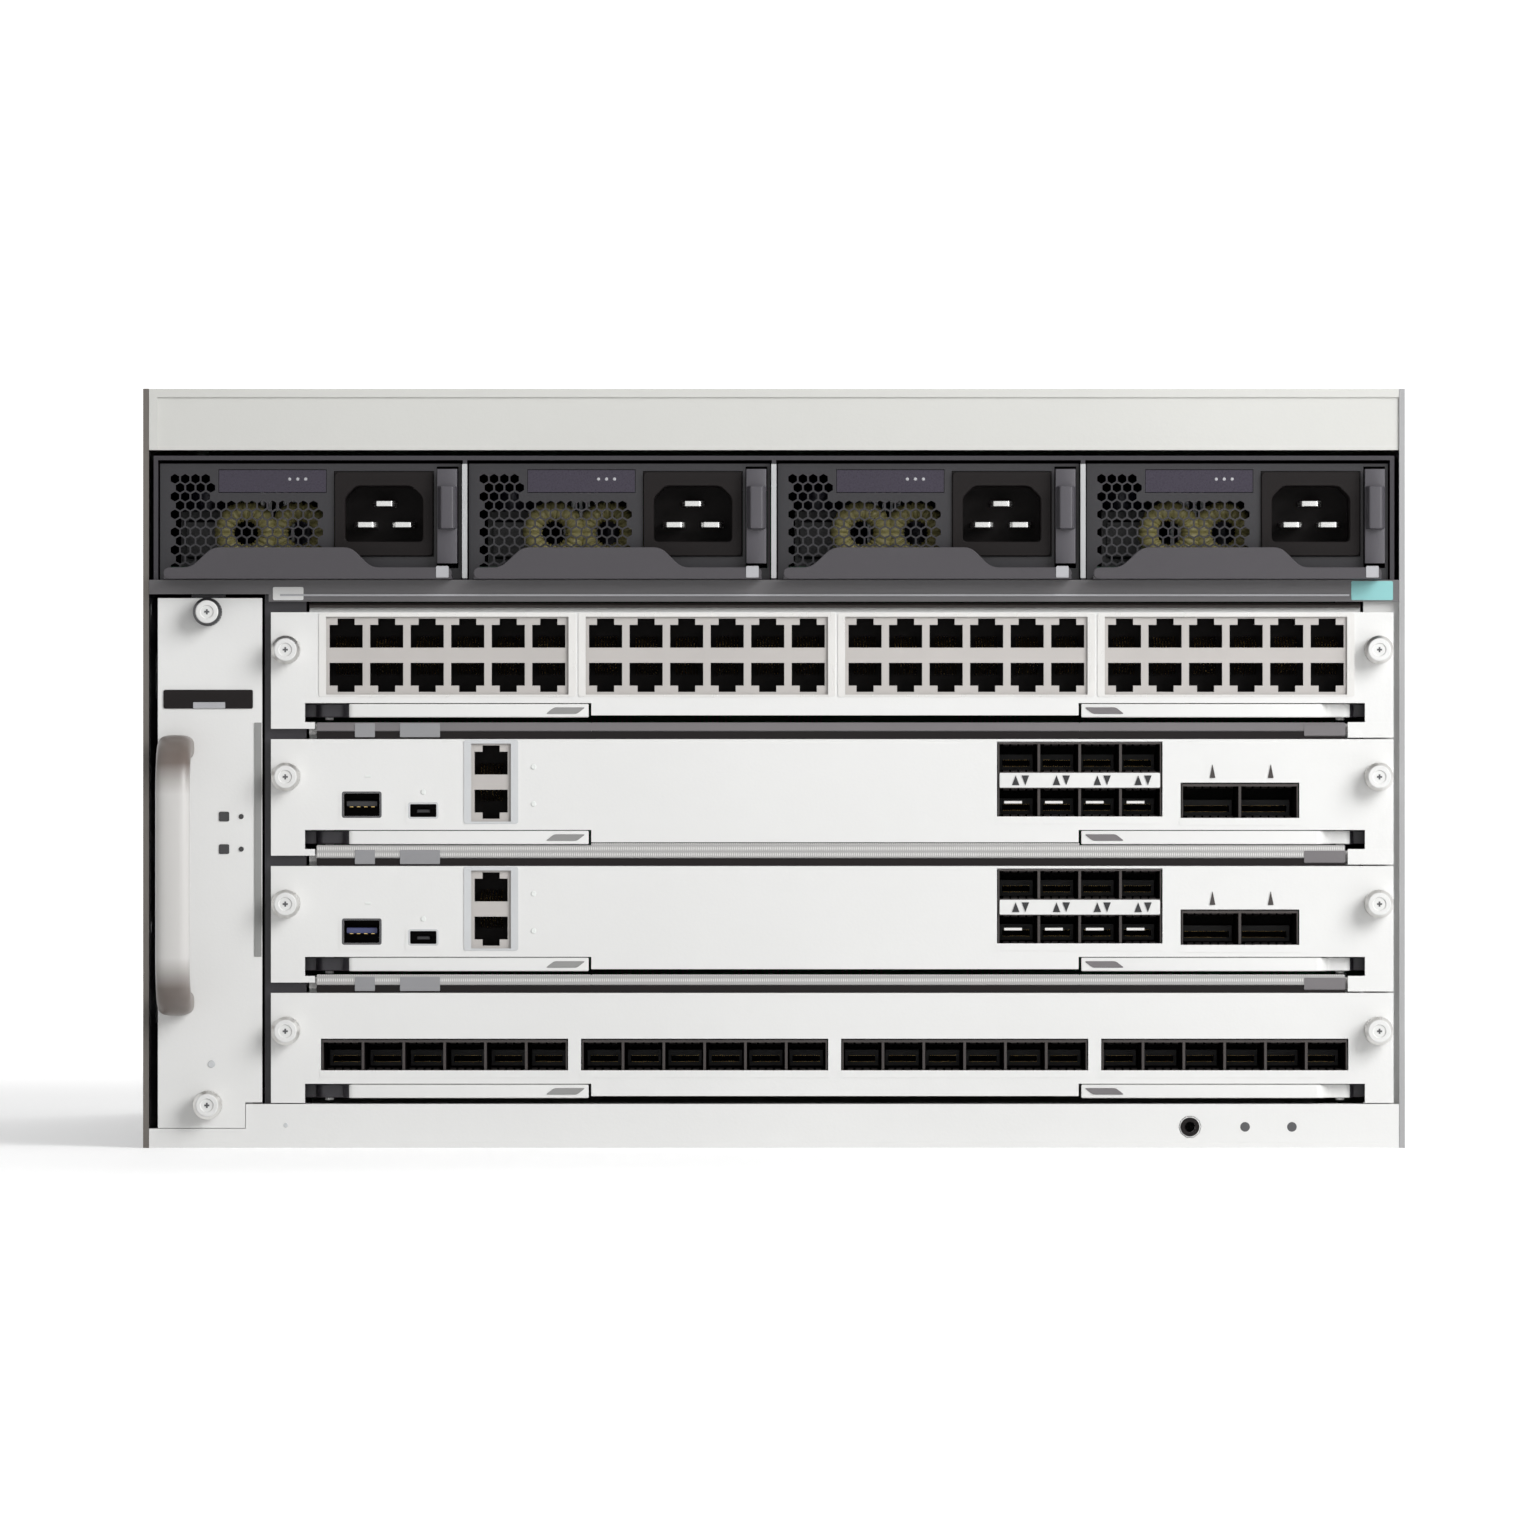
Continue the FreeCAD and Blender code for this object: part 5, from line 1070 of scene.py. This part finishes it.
def card_circuits(card, seed):
    """Everything on a card's board between its sockets and its rear plugs."""
    corner = (span(card + "_board")[0][0], FRONT, slot_base(card) + BOARD_TOP)
    piece = Piece(card + "_circuits", corner)
    transformer = block((0, 0, 0), (15, 12, 5.6), 0.5)
    fronts = [12 + 30.2 * step for step in range(12)]
    piece.add(transformer.at(*[(x, 66, 0) for x in fronts]), black_plastic)
    piece.chips(quad_chip(14), [(x + 30.6, 88, 0) for x in fronts[::3]])
    piece.chips(chip(11, 9), [(x, y, 0) for x in (88, 106, 214, 327) for y in (132, 146, 160, 174)])
    if card in ("line_card_1", "line_card_4"):
        piece.box((SWITCH_LEFT, 140, 0), (SWITCH_LEFT + 34, 174, 2.2), black_plastic, 0.4)
        piece.box((SWITCH_LEFT + 5, 145, 2.2), (SWITCH_LEFT + 29, 169, 3.1), shield, 0.4)
    piece.box((22, 216, 0), (58, 274, 9.5), dark_steel, 0.8)
    piece.box((24.5, 218.5, 9.4), (55.5, 271.5, 10.3), black_plastic, 0.3)
    coils = [(x, 226, 0) for x in (72, 88, 104, 120)]
    piece.add(block((0, 0, 0), (11, 11, 5.5), 0.7).at(*coils), ferrite)
    cans = [(x, y, 0) for x in (77, 93, 109, 125) for y in (250, 264)]
    piece.add(capacitor(4.2, 10.5).at(*cans), sleeve_blue)
    piece.chips(quad_chip(24), [(170, 232, 0), (250, 236, 0), (310, 228, 0)])
    fields = ((70, 60, 90, 330, 124), (80, 20, 130, 78, 206), (90, 150, 266, 340, 296))
    for step, (count, *area) in enumerate(fields):
        pale, dark = small_parts(seed + step, count, *area)
        piece.add(pale, tape).add(dark, black_plastic)
    piece.done(card, "black_plastic")


for order, card in enumerate(CARDS):
    card_circuits(card, 10 * order)
print("a switching chip", SWITCH_LEFT, "mm from each board's left edge")

# %% [markdown]
# An ejector lever turns on a pin at the end of its card, with a long arm to pull and a short toe that pries against
# the cage.  It is cut from flat bar, so it is a plate seen from above.  The knurl of a captive screw is part of its
# shape: the radius waves with the angle, and each ridge catches the light as a bump map would not.
#
# %% Levers and captive screws


def lever(side):
    """The ejector: a boss, a long arm flush with the face and a short toe, all with eased corners."""
    outline = [(4.5, -2.25), (2.25, -4.5), (-4.5, -4.5), (-7.4, -8.5), (-91.7, -8.5), (-86, -3.5), (-9, -3.5),
               (-4.5, 2.25), (-2.25, 4.5), (0, 4.5), (10.8, 3.2), (14, 0), (10.8, -1.6), (4.5, -1.6)]
    points = [(side * x, y) for x, y in outline]
    return plate([softened(points, 1.4, 3), ring_outline(0, 0, 1.58, 24)], 4.7, "plan", -1.8, 0.25)


def cross_outline(half, arm):
    """The twelve corners of a cross recess: half its groove's width, and its reach."""
    return [(-half, -arm), (half, -arm), (half, -half), (arm, -half), (arm, half), (half, half), (half, arm),
            (-half, arm), (-half, half), (-arm, half), (-arm, -half), (-half, -half)]


def knurled_head(flutes=28):
    """A thumb screw from y = 0 towards the viewer: knurled skirt, chamfered rim, dished face and a thin cross for
    painted shade in its recess.
    """
    skirt = turned_part([(4.6, -0.15), (4.95, -0.6), (4.95, -1.2), (4.95, -7.0), (4.95, -7.6), (4.0, -8.75)],
                        flutes * 6, flutes, 0.35, (-7.3, -0.9))
    dish = turned_part([(4.0, -8.75), (3.7, -9.0), (2.4, -9.0), (2.1, -8.6), (0, -8.6)], flutes * 6)
    foot = turned_part([(4.6, -0.15), (0, -0.15)], flutes * 6)
    shaft = turned_part([(1.75, -0.2), (1.75, 6.9), (1.2, 7.9), (0, 7.9)], 20)
    return skirt + foot, dish, shaft, plate([cross_outline(0.3, 0.9)], 0.12, "front", -8.7)


skirt, dish, shaft, cross = knurled_head()


def thumb_screw(node, knurl):
    """A knurled screw in place of a node, which is also the name of its body."""
    low, high = span(node)
    place = ((low[0] + high[0]) / 2, FRONT, (low[2] + high[2]) / 2)
    # The thin cross is painted dark: painted shade standing for a recess.
    Piece(node + "_knurled", place).add(skirt, knurl).add(dish, white_cap).add(
        shaft, screw_steel).add(cross, dark_steel).done(node, "screw_steel", [node])


for card in CARDS:
    for end, side in (("left", -1), ("right", 1)):
        name = f"{card}_{end}_lever"
        where = pivot(name + "_pivot")
        arm = Piece(name + "_arm")
        # The boss end of each arm is painted dark: painted shade in the recess where the lever turns.
        shade_end = 7.0 if side < 0 else -3.2
        arm.add(lever(side).at(where), pale_paint,
                (dark_paint, lambda middle: (where[0] - middle[:, 0]) * side < shade_end))
        # A grey pad near each arm's tip is painted shade at the lever's end, lighter on the left levers.
        grip = [(where[0] - side * 76, where[2] - 0.6), (where[0] - side * 79, where[2] + 1.7),
                (where[0] - side * 90, where[2] + 1.7), (where[0] - side * 87, where[2] - 0.6)]
        pad = plate([softened(grip, 0.8, 3)], 0.4, "front", FRONT - 0.25, 0.08)
        arm.add(pad, painted_grey_shade if side < 0 else dark_rubber_and_shade)
        arm.done(name, "lever_metal", [name])
        thumb_screw(f"{card}_{end}_screw", shield)
# The top tray screw's knurl is dark steel and the bottom one's is plated: the darker copy is painted shade.
for end, knurl in (("top", dark_steel), ("bottom", shield)):
    thumb_screw("fan_tray_screw_" + end, knurl)

# %% [markdown]
# Where one card meets the next, a strip of springy gasket closes the gap.  It stands on the lower card's upper
# edge and reaches almost to the card above.  Three cards below the first have one, and the first card's own is
# part of its face.  Short plastic clips hold a strip at both ends, and a painted tab closes each corner.  A
# near-black band along each strip's foot is painted shade, and the strip under the first card is a darker
# grey, also painted shade.
#
# %% Gasket strips between the cards
TIP_LEFT, TIP_RIGHT = -64.0, 107.0
LEFT_CLIPS, RIGHT_CLIP = ((-146.8, -139.8), (-131.0, -117.0)), (185.7, 200.1)
SHADE_TALL = 2.7
# The strip under the first card is in the darker grey: painted shade on the same gasket.
for card, above, middle_high, end_high, finish in (("supervisor_2", "line_card_1", 5.8, 5.8, dark_rubber_and_shade),
                                                   ("supervisor_3", "supervisor_2", 8.1, 7.3, gasket),
                                                   ("line_card_4", "supervisor_3", 6.4, 6.4, gasket)):
    low = slot_base(card) + FACE_TALL
    strip = Piece(card + "_gasket_strip")
    across = [(CARD_LEFT + 16, TIP_LEFT, end_high), (TIP_LEFT, TIP_RIGHT, middle_high),
              (TIP_RIGHT, CARD_RIGHT - 17, end_high)]
    for left, right, high in across:
        strip.box((left, FRONT + 0.3, low + SHADE_TALL), (right, FRONT + 2.2, low + high), finish, 0.3)
        # A near-black band along each strip's foot: painted shade in the gap above the lower card.
        strip.box((left, FRONT + 0.5, low + 0.05), (right, FRONT + 1.6, low + SHADE_TALL), black_and_painted_shade, 0.05)
    for left, right in LEFT_CLIPS:
        strip.box((left, FRONT + 0.1, low + 0.6), (right, FRONT + 1.6, low + 5.6), clip_nylon)
    strip.box((RIGHT_CLIP[0], FRONT + 0.1, low + 1.0), (RIGHT_CLIP[1], FRONT + 1.4, low + 5.4), dark_rubber_and_shade, 0.3)
    ends = [(CARD_LEFT, CARD_LEFT + 15.4, -2.1), (CARD_RIGHT - 16, CARD_RIGHT, -5.2)]
    base = slot_base(above)
    tabs = Piece(above + "_end_tabs")
    for left, right, reach in ends:
        tabs.box((left, FRONT, base + reach), (right, FRONT + 1.2, base + 0.2), pale_paint, 0.02)
    tabs.done(above, "pale_paint")
    strip.done(card, "pale_paint")

# %% [markdown]
# ## Fan tray
#
# The bow handle is one bar bent at both ends.  Its surface is a section carried along a path: the section is a
# superellipse, |x/a|^n + |y/b|^n = 1 with n = 3, which is a bar with well-rounded edges, and the path is two
# legs and a grip joined by quarter circles.  The two bends are painted a warm brown by height: a painted
# reflection of dark surroundings and painted shade.
#
# %% Bow handle


def bend_shaded_metal():
    """White satin bar whose bends are painted a warm brown by height: painted reflection and shade."""
    finish = Finish("bend_shaded_satin", (0.62, 0.61, 0.60), 0.34)
    low, high = (corner[2] * MM for corner in span("fan_tray_handle"))
    height = finish.node("ShaderNodeSeparateXYZ", None, {"Vector": finish.place()}, "Z")
    half = (high - low) / 2
    reach = ((height - (low + half)) / half).math("ABSOLUTE")
    # The bends are darkened to a warm brown by height: painted reflection and shade.
    painted_bend_shade = ((reach - 0.58) / 0.22).math("MAXIMUM", 0.0).math("MINIMUM", 1.0) * (0.65 + 0.35 * finish.noise(60, 2))
    finish.set("Base Color", finish.mix(painted_bend_shade, (0.55, 0.54, 0.525), (0.085, 0.056, 0.042)))
    finish.set("Roughness", 0.30 + 0.12 * finish.noise(1, 3, (900, 900, 60)))
    return finish.bump(finish.noise(1, 2, (1500, 1500, 60)), 0.000008)


def bow_handle(low, high, thick, bend, steps=12, around=28):
    """Path and section: out from the face, a quarter circle, along, a quarter circle and back."""
    wide = high[0] - low[0]
    inner = bend - thick / 2
    turn = np.linspace(0, np.pi / 2, steps + 1)
    front, back = low[1] + thick / 2, high[1]
    foot, top = low[2] + thick / 2, high[2] - thick / 2
    path = [(back, foot, 0.0), (front + inner, foot, 0.0)]
    for a in turn[1:]:
        path.append((front + inner - inner * math.sin(a), foot + inner - inner * math.cos(a), a))
    for a in turn:
        path.append((front + inner - inner * math.cos(a), top - inner + inner * math.sin(a), a + np.pi / 2))
    path += [(back, top, np.pi)]
    along = np.array(path)
    angle = np.linspace(0, 2 * np.pi, around, endpoint=False)
    rounded = lambda wave: np.sign(wave) * np.abs(wave) ** (2 / 3)
    across, out = wide / 2 * rounded(np.cos(angle)), thick / 2 * rounded(np.sin(angle))
    normal = np.stack([-np.sin(along[:, 2]), -np.cos(along[:, 2])], -1)
    y = along[:, 0, None] + normal[:, 0, None] * out
    z = along[:, 1, None] + normal[:, 1, None] * out
    x = (low[0] + high[0]) / 2 + across[None] + 0 * y
    points = np.stack([x, y, z], -1)
    ends = [np.repeat(points[end].mean(0)[None], around, 0)[None] for end in (0, -1)]
    return grid(np.concatenate([ends[0], points, ends[1]]), wrap_v=True)


grip = bow_handle(*span("fan_tray_handle"), 9.0, 20.0)
Piece("fan_tray_bow").add(grip, bend_shaded_metal()).done("fan_tray", "white_satin", ["fan_tray_handle"])

# %% [markdown]
# A fan blade is a twisted aerofoil.  At radius r its section is turned from the axle by an angle that falls from
# root to tip, because the tip moves faster, and its middle line is bowed: point = (v sin a, v cos a) along the
# section plus the bow c (1 - (2 v / chord)^2) square to it.
#
# %% Fan rotors
HUB, TIP, CHORD, BLADES = 17.0, 36.0, 23.0, 7


def fan_blade(rows=7, points=9):
    """One closed blade standing on +Z, about the X axle."""
    u = np.linspace(0, 1, rows)[:, None]
    v = np.linspace(-1, 1, points)[None]
    angle = np.radians(50 - 14 * u)
    bow, thick = 2.2 * (1 - v ** 2), (0.85 - 0.35 * u) * np.sqrt(1.02 - v ** 2)
    sides = []
    for sign in (1, -1):
        chord, square = v * CHORD / 2 * (1 - 0.06 * (1 - u)), bow + sign * thick
        axle = chord * np.sin(angle) + square * np.cos(angle)
        around = chord * np.cos(angle) - square * np.sin(angle)
        radius = HUB - 1 + (TIP - HUB + 1) * u
        spin = around / np.maximum(radius, 1)
        sides.append(np.stack([axle, radius * np.sin(spin), radius * np.cos(spin)], -1))
    loop = np.concatenate([sides[0], sides[1][:, ::-1]], 1)
    cap = np.repeat(loop[-1].mean(0)[None], loop.shape[1], 0)[None]
    root = np.repeat(loop[0].mean(0)[None], loop.shape[1], 0)[None]
    return grid(np.concatenate([root, loop, cap]), wrap_v=True)


def fan_hub():
    """A cup on the X axle with a rounded front, a shallow dish and the axle behind."""
    profile = [(0, 9.4), (11, 9.4), (12, 9.9), (15.4, 9.9), (16.6, 9.2), (HUB, 7.8), (HUB, -10), (15.6, -10),
               (15.6, -8), (2.4, -8), (2.4, -13.2), (0, -13.2)]
    return turned_part(profile, 42).turned(2, -90)


blade, hub = fan_blade(), fan_hub()
ring = blade
for turn in range(1, BLADES):
    ring = ring + blade.turned(0, 360 / BLADES * turn)
for fan in range(1, 7):
    node = f"fan_rotor_{fan}"
    where = pivot(node + "_spin")
    where[0] = span(node)[1][0] - 10
    Piece(node + "_wheel", where).add(ring, black_plastic).add(hub, black_plastic).done(node, "black_plastic", [node])

# %% [markdown]
# A dark pull tag, two pairs of smoked lamps, a grey strip of painted shade along the right edge and a ring around
# each fan complete the tray.  Each stands a fraction of a millimetre proud of the face, so that it has an edge of
# its own to catch the light.
#
# %% Marks, tag and lamps on the tray
TRAY_LEFT, TRAY_RIGHT = [corner[0] for corner in span("fan_tray_frame")]
TAG_LOW, TAG_HIGH = 153.9, 160.5
LAMP_LEVELS, LENS_ACROSS, DOT_ACROSS = (116.1, 104.7), -192.6, -186.6
tray = Piece("fan_tray_marks")
tag = box_outline(TRAY_LEFT + 2.0, TAG_LOW, TRAY_RIGHT - 3.2, TAG_HIGH, 0.6)
tray.add(plate([tag], 0.5, "front", FRONT - 0.5, 0.12), black_and_painted_shade)
tray.box((TRAY_LEFT + 12.4, FRONT - 0.65, TAG_LOW), (TRAY_LEFT + 23.6, FRONT - 0.1, 156.2), grey_plastic, 0.2)
lens = plate([box_outline(-1.8, -1.7, 1.8, 1.7, 0.5)], 0.5, "front", FRONT - 0.35, 0.12)
dot = peg((0, FRONT - 0.35, 0), 0.9, 0.6, 1, 16)
for high in LAMP_LEVELS:
    tray.add(lens.at((LENS_ACROSS, 0, high)), smoked_lens).add(dot.at((DOT_ACROSS, 0, high)), smoked_lens)
tray.add(peg((-197.0, FRONT - 0.3, 29.4), 1.3, 0.6, 1, 16), zinc)
# A grey strip along the tray's right edge: painted shade.
tray.box((-182.0, FRONT - 0.25, 67), (TRAY_RIGHT - 0.2, FRONT + 0.1, 149), painted_grey_shade, 0.08)
lip = plate([ring_outline(0, 0, radius, 60) for radius in (41.0, 38.4)], 0.8, "side", TRAY_LEFT + 2.6, 0.2)
hub_places = [pivot(f"fan_rotor_{fan}_spin") * (0, 1, 1) for fan in range(1, 7)]
tray.add(lip.at(*hub_places), black_plastic)
tray.done("fan_tray", "pale_paint")

# %% [markdown]
# ## Chassis
#
# The side panels breathe through pointed slots backed by perforated sheet, and the rear panel through rows of
# slots backed in the same way.  The sheet is one plate with a honeycomb of holes, repeated for every opening.
#
# %% Perforated sheet behind the vents
SIDE, REAR_FACE = span("right_side_panel")[1][0], span("rear_panel")[1][1]
VENT_LONG, VENT_STEP, VENT_RISE = 60.0, 76.0, 58.0
VENT_START, VENT_LOW, SHEET = 50.0, 50.0, 0.5
vent_holes = honeycomb(5.5, -5.6, VENT_LONG - 5.5, 5.6, 3.6, 0.7)
vent_sheet = plate([box_outline(-1, -8, VENT_LONG + 1, 8, 1), *vent_holes], SHEET, "side", 0)
for name, level in (("left", -SIDE + 1.55), ("right", SIDE - 1.55 - SHEET)):
    places = [(level, FRONT + VENT_START + VENT_STEP * column, VENT_LOW + VENT_RISE * row)
              for column in range(4) for row in range(3)]
    Piece(name + "_side_perforation").add(vent_sheet.at(*places), side_paint).done("chassis", "side_paint")
EXHAUST_WIDE, EXHAUST_TALL = 74, 28
rear_holes = honeycomb(0.6, 0.6, EXHAUST_WIDE - 0.6, EXHAUST_TALL - 0.6, 4.2, 0.8)
rear_sheet = plate([box_outline(0, 0, EXHAUST_WIDE, EXHAUST_TALL), *rear_holes], SHEET, "front", 0)
places = [(span(supply + "_case")[0][0] + 15.5, REAR_FACE - 1.5 - SHEET - 0.1, SUPPLY_LOW + 7)
          for supply in SUPPLIES]
Piece("rear_perforation").add(rear_sheet.at(*places), side_paint).done("chassis", "side_paint")

# %% [markdown]
# Countersunk screws hold the panels.  A shallow dome with a thin dark cross, painted shade for its recess, reads as
# a screw from every side and stays within about a tenth of a millimetre of its panel.  Two blank labels, a
# grounding jack, and the thin edges of the shelf and its dividers complete the front; the edges are real, and
# their pale paint is a painted highlight.
#
# %% Screws, labels and edges


def panel_screw(radius=3.0):
    """A countersunk screw on +Z, a hair proud of its panel: a shallow dome with a thin cross, painted shade for its
    recess.
    """
    profile = [(0, 0.09), (radius * 0.55, 0.08), (radius * 0.92, 0.05), (radius, -0.1), (radius * 0.9, -0.3),
               (0, -0.3)]
    dome = turned_part(profile, 24).turned(0, 90)
    return dome, plate([cross_outline(0.35, radius * 0.55)], 0.04, "plan", 0.07)


dome, cross = panel_screw()
top = span("top_cover")[1][2]
screws = Piece("chassis_screws")
on_top = [(x, y, top) for x in (-205, 0, 205) for y in (FRONT + 20, 10, REAR_FACE - 12)]
on_left, on_right = [[(side * SIDE, y, z) for y in (FRONT + 14, 16, REAR_FACE - 14) for z in (12, top - 12)]
                     for side in (-1, 1)]
on_rear = [(x, REAR_FACE, z) for x in (-205, -70, 70, 205) for z in (12, 190, top - 10)]
for axis, degrees, places in ((0, 0, on_top), (1, -90, on_left), (1, 90, on_right), (0, -90, on_rear)):
    # The dark crosses are painted shade standing for the recesses.
    for shape, finish in ((dome, screw_steel), (cross, dark_steel)):
        screws.add(shape.turned(axis, degrees).at(*places), finish)
small = panel_screw(1.8)[0]
places = [(x, FRONT, 7.4) for x in (165.0, 181.4)]
screws.add(small.turned(0, 90).at(*places), dark_steel)
screws.add(peg((-171.0, FRONT - 0.25, 8.0), 0.8, 0.4, 1, 16), zinc)
screws.done("chassis", "zinc_sheet")
GROUND_JACK = (145.7, FRONT, 7.4)
labels = Piece("chassis_labels")
for area, finish in (((-175.5, 191.9, -164.8, 196.5), white_cap), ((202.2, 191.9, 216.8, 198.6), teal_label)):
    labels.add(plate([box_outline(*area, 0.5)], 0.2, "front", FRONT - 0.2), finish)
# The jack's well and rim are near black: painted shade inside the hole.
well = turned_part([(3.75, 0.1), (3.75, 9.5), (0, 9.5), (0, 9.3), (3.0, 9.3), (3.0, 0.1), (3.75, 0.1)], 32)
rim = plate([ring_outline(0, 0, 3.3, 32), ring_outline(0, 0, 1.85, 32)], 0.3, "front", -0.3)
for shape in (well, rim):
    labels.add(shape.at(GROUND_JACK), black_and_painted_shade)
# A pale bead along the shelf's lower edge: a painted highlight on a real edge.
shelf_edge_highlight = block((-173.0, FRONT - 0.35, 193.3), (201.5, FRONT, 194.0), 0.08)
labels.add(shelf_edge_highlight, grey_plastic)
# The dividers' front edges are painted pale: real edges with a painted highlight.
for supply in SUPPLIES[1:]:
    left = span(supply + "_case")[0][0]
    labels.box((left - 2.3, FRONT - 0.3, 199.6), (left - 0.5, FRONT + 0.6, 239.6), side_paint, 0.1)
labels.done("chassis", "pale_paint")

# %% [markdown]
# ## Floor, light and camera
#
# A product of pale paint wants large soft lights: a broad one from the front right and above, a faint one from the
# left, one behind for the top edge, and a pale room around.  The camera looks straight at the front through a long
# lens, so that edges stay parallel.
#
# %% Floor and backdrop


def stage_floor():
    """A floor that rises into a backdrop: pale near the object, and seen as white where it is far away."""
    finish = Finish("studio_floor", (0.80, 0.80, 0.80), 0.75)
    far = finish.node("ShaderNodeVectorMath", {"operation": "LENGTH"}, {"Vector": finish.place()}, output="Value")
    far = finish.node("ShaderNodeMapRange", {}, {"Value": far, "From Min": 0.5, "From Max": 2.6})
    kinds = [finish.node("ShaderNodeLightPath", output=f"Is {kind} Ray")
             for kind in ("Camera", "Glossy", "Transmission")]
    seen = kinds[0] + kinds[1] + kinds[2]
    glow = finish.mix(far, (0.3, 0.3, 0.3), (1.0, 1.0, 1.0))
    finish.set("Emission Color", finish.mix(seen, (0.0, 0.0, 0.0), glow)).set("Emission Strength", 1.0)
    reach, back, rise = 5200.0, 5200.0, 3500.0
    turn = np.linspace(0, np.pi / 2, 13)
    depth = np.concatenate([[-reach], back - 800 + 800 * np.sin(turn), [back]])
    height = np.concatenate([[0.0], 800 - 800 * np.cos(turn), [rise]])
    across = np.linspace(-reach, reach, 3)
    points = np.stack([across[None] + 0 * depth[:, None], depth[:, None] + 0 * across[None],
                       height[:, None] + 0 * across[None]], -1)
    mesh = bpy.data.meshes.new("studio_floor")
    rows, columns = points.shape[:2]
    quads = [(r * columns + c, r * columns + c + 1, (r + 1) * columns + c + 1, (r + 1) * columns + c)
             for r in range(rows - 1) for c in range(columns - 1)]
    mesh.from_pydata((points.reshape(-1, 3) * MM).tolist(), [], quads)
    mesh.materials.append(finish.material)
    mesh.shade_smooth()
    floor = bpy.data.objects.new("studio_floor", mesh)
    bpy.context.scene.collection.objects.link(floor)


stage_floor()

# %% Lights and world


def soft_light(name, place, aim, size, power):
    """A square area lamp at a place, turned towards a point, both in metres."""
    lamp = bpy.data.lights.new(name, "AREA")
    lamp.shape, lamp.size, lamp.energy = "SQUARE", size, power
    holder = bpy.data.objects.new(name, lamp)
    bpy.context.scene.collection.objects.link(holder)
    way = np.array(aim, float) - np.array(place, float)
    way /= np.linalg.norm(way)
    holder.location = place
    holder.rotation_euler = (math.acos(-way[2]), 0, math.atan2(way[1], way[0]) - math.pi / 2)


middle = (0, FRONT * MM, 0.13)
soft_light("key", (1.3, -1.5, 1.0), middle, 1.2, 42)
soft_light("fill", (-1.9, -2.2, 0.9), middle, 1.6, 1.5)
soft_light("rim", (0.4, 2.0, 2.2), middle, 1.5, 30)
world = bpy.data.worlds.new("studio")
bpy.context.scene.world = world
world.use_nodes = True
tree = world.node_tree
sky = tree.nodes["Background"]
sky.inputs["Color"].default_value = (1, 1, 1, 1)
paths = tree.nodes.new("ShaderNodeLightPath")
direct, seen = tree.nodes.new("ShaderNodeMath"), tree.nodes.new("ShaderNodeMath")
direct.operation = seen.operation = "MAXIMUM"
strength = tree.nodes.new("ShaderNodeMapRange")
ROOM_LIGHT = 0.33
strength.inputs["To Min"].default_value = ROOM_LIGHT
strength.inputs["To Max"].default_value = 1.0
tree.links.new(paths.outputs["Is Camera Ray"], direct.inputs[0])
tree.links.new(paths.outputs["Is Transmission Ray"], direct.inputs[1])
tree.links.new(direct.outputs[0], seen.inputs[0])
tree.links.new(paths.outputs["Is Glossy Ray"], seen.inputs[1])
tree.links.new(seen.outputs[0], strength.inputs["Value"])
tree.links.new(strength.outputs["Result"], sky.inputs["Strength"])
bpy.context.scene.view_settings.view_transform = "Standard"
print("lights set")

# %% Camera
LENS, SENSOR = 250.0, 36.0
FRAME_WIDE = 0.538
AIM = (-0.0021, FRONT * MM, 0.1331)
camera_data = bpy.data.cameras.new("camera")
camera_data.lens, camera_data.sensor_width = LENS, SENSOR
camera_data.clip_end = 50
camera = bpy.data.objects.new("camera", camera_data)
bpy.context.scene.collection.objects.link(camera)
camera.location = (AIM[0], AIM[1] - FRAME_WIDE * LENS / SENSOR, AIM[2])
camera.rotation_euler = (math.pi / 2, 0, 0)
bpy.context.scene.camera = camera
print(f"camera {FRAME_WIDE * LENS / SENSOR:.2f} m in front of the face")
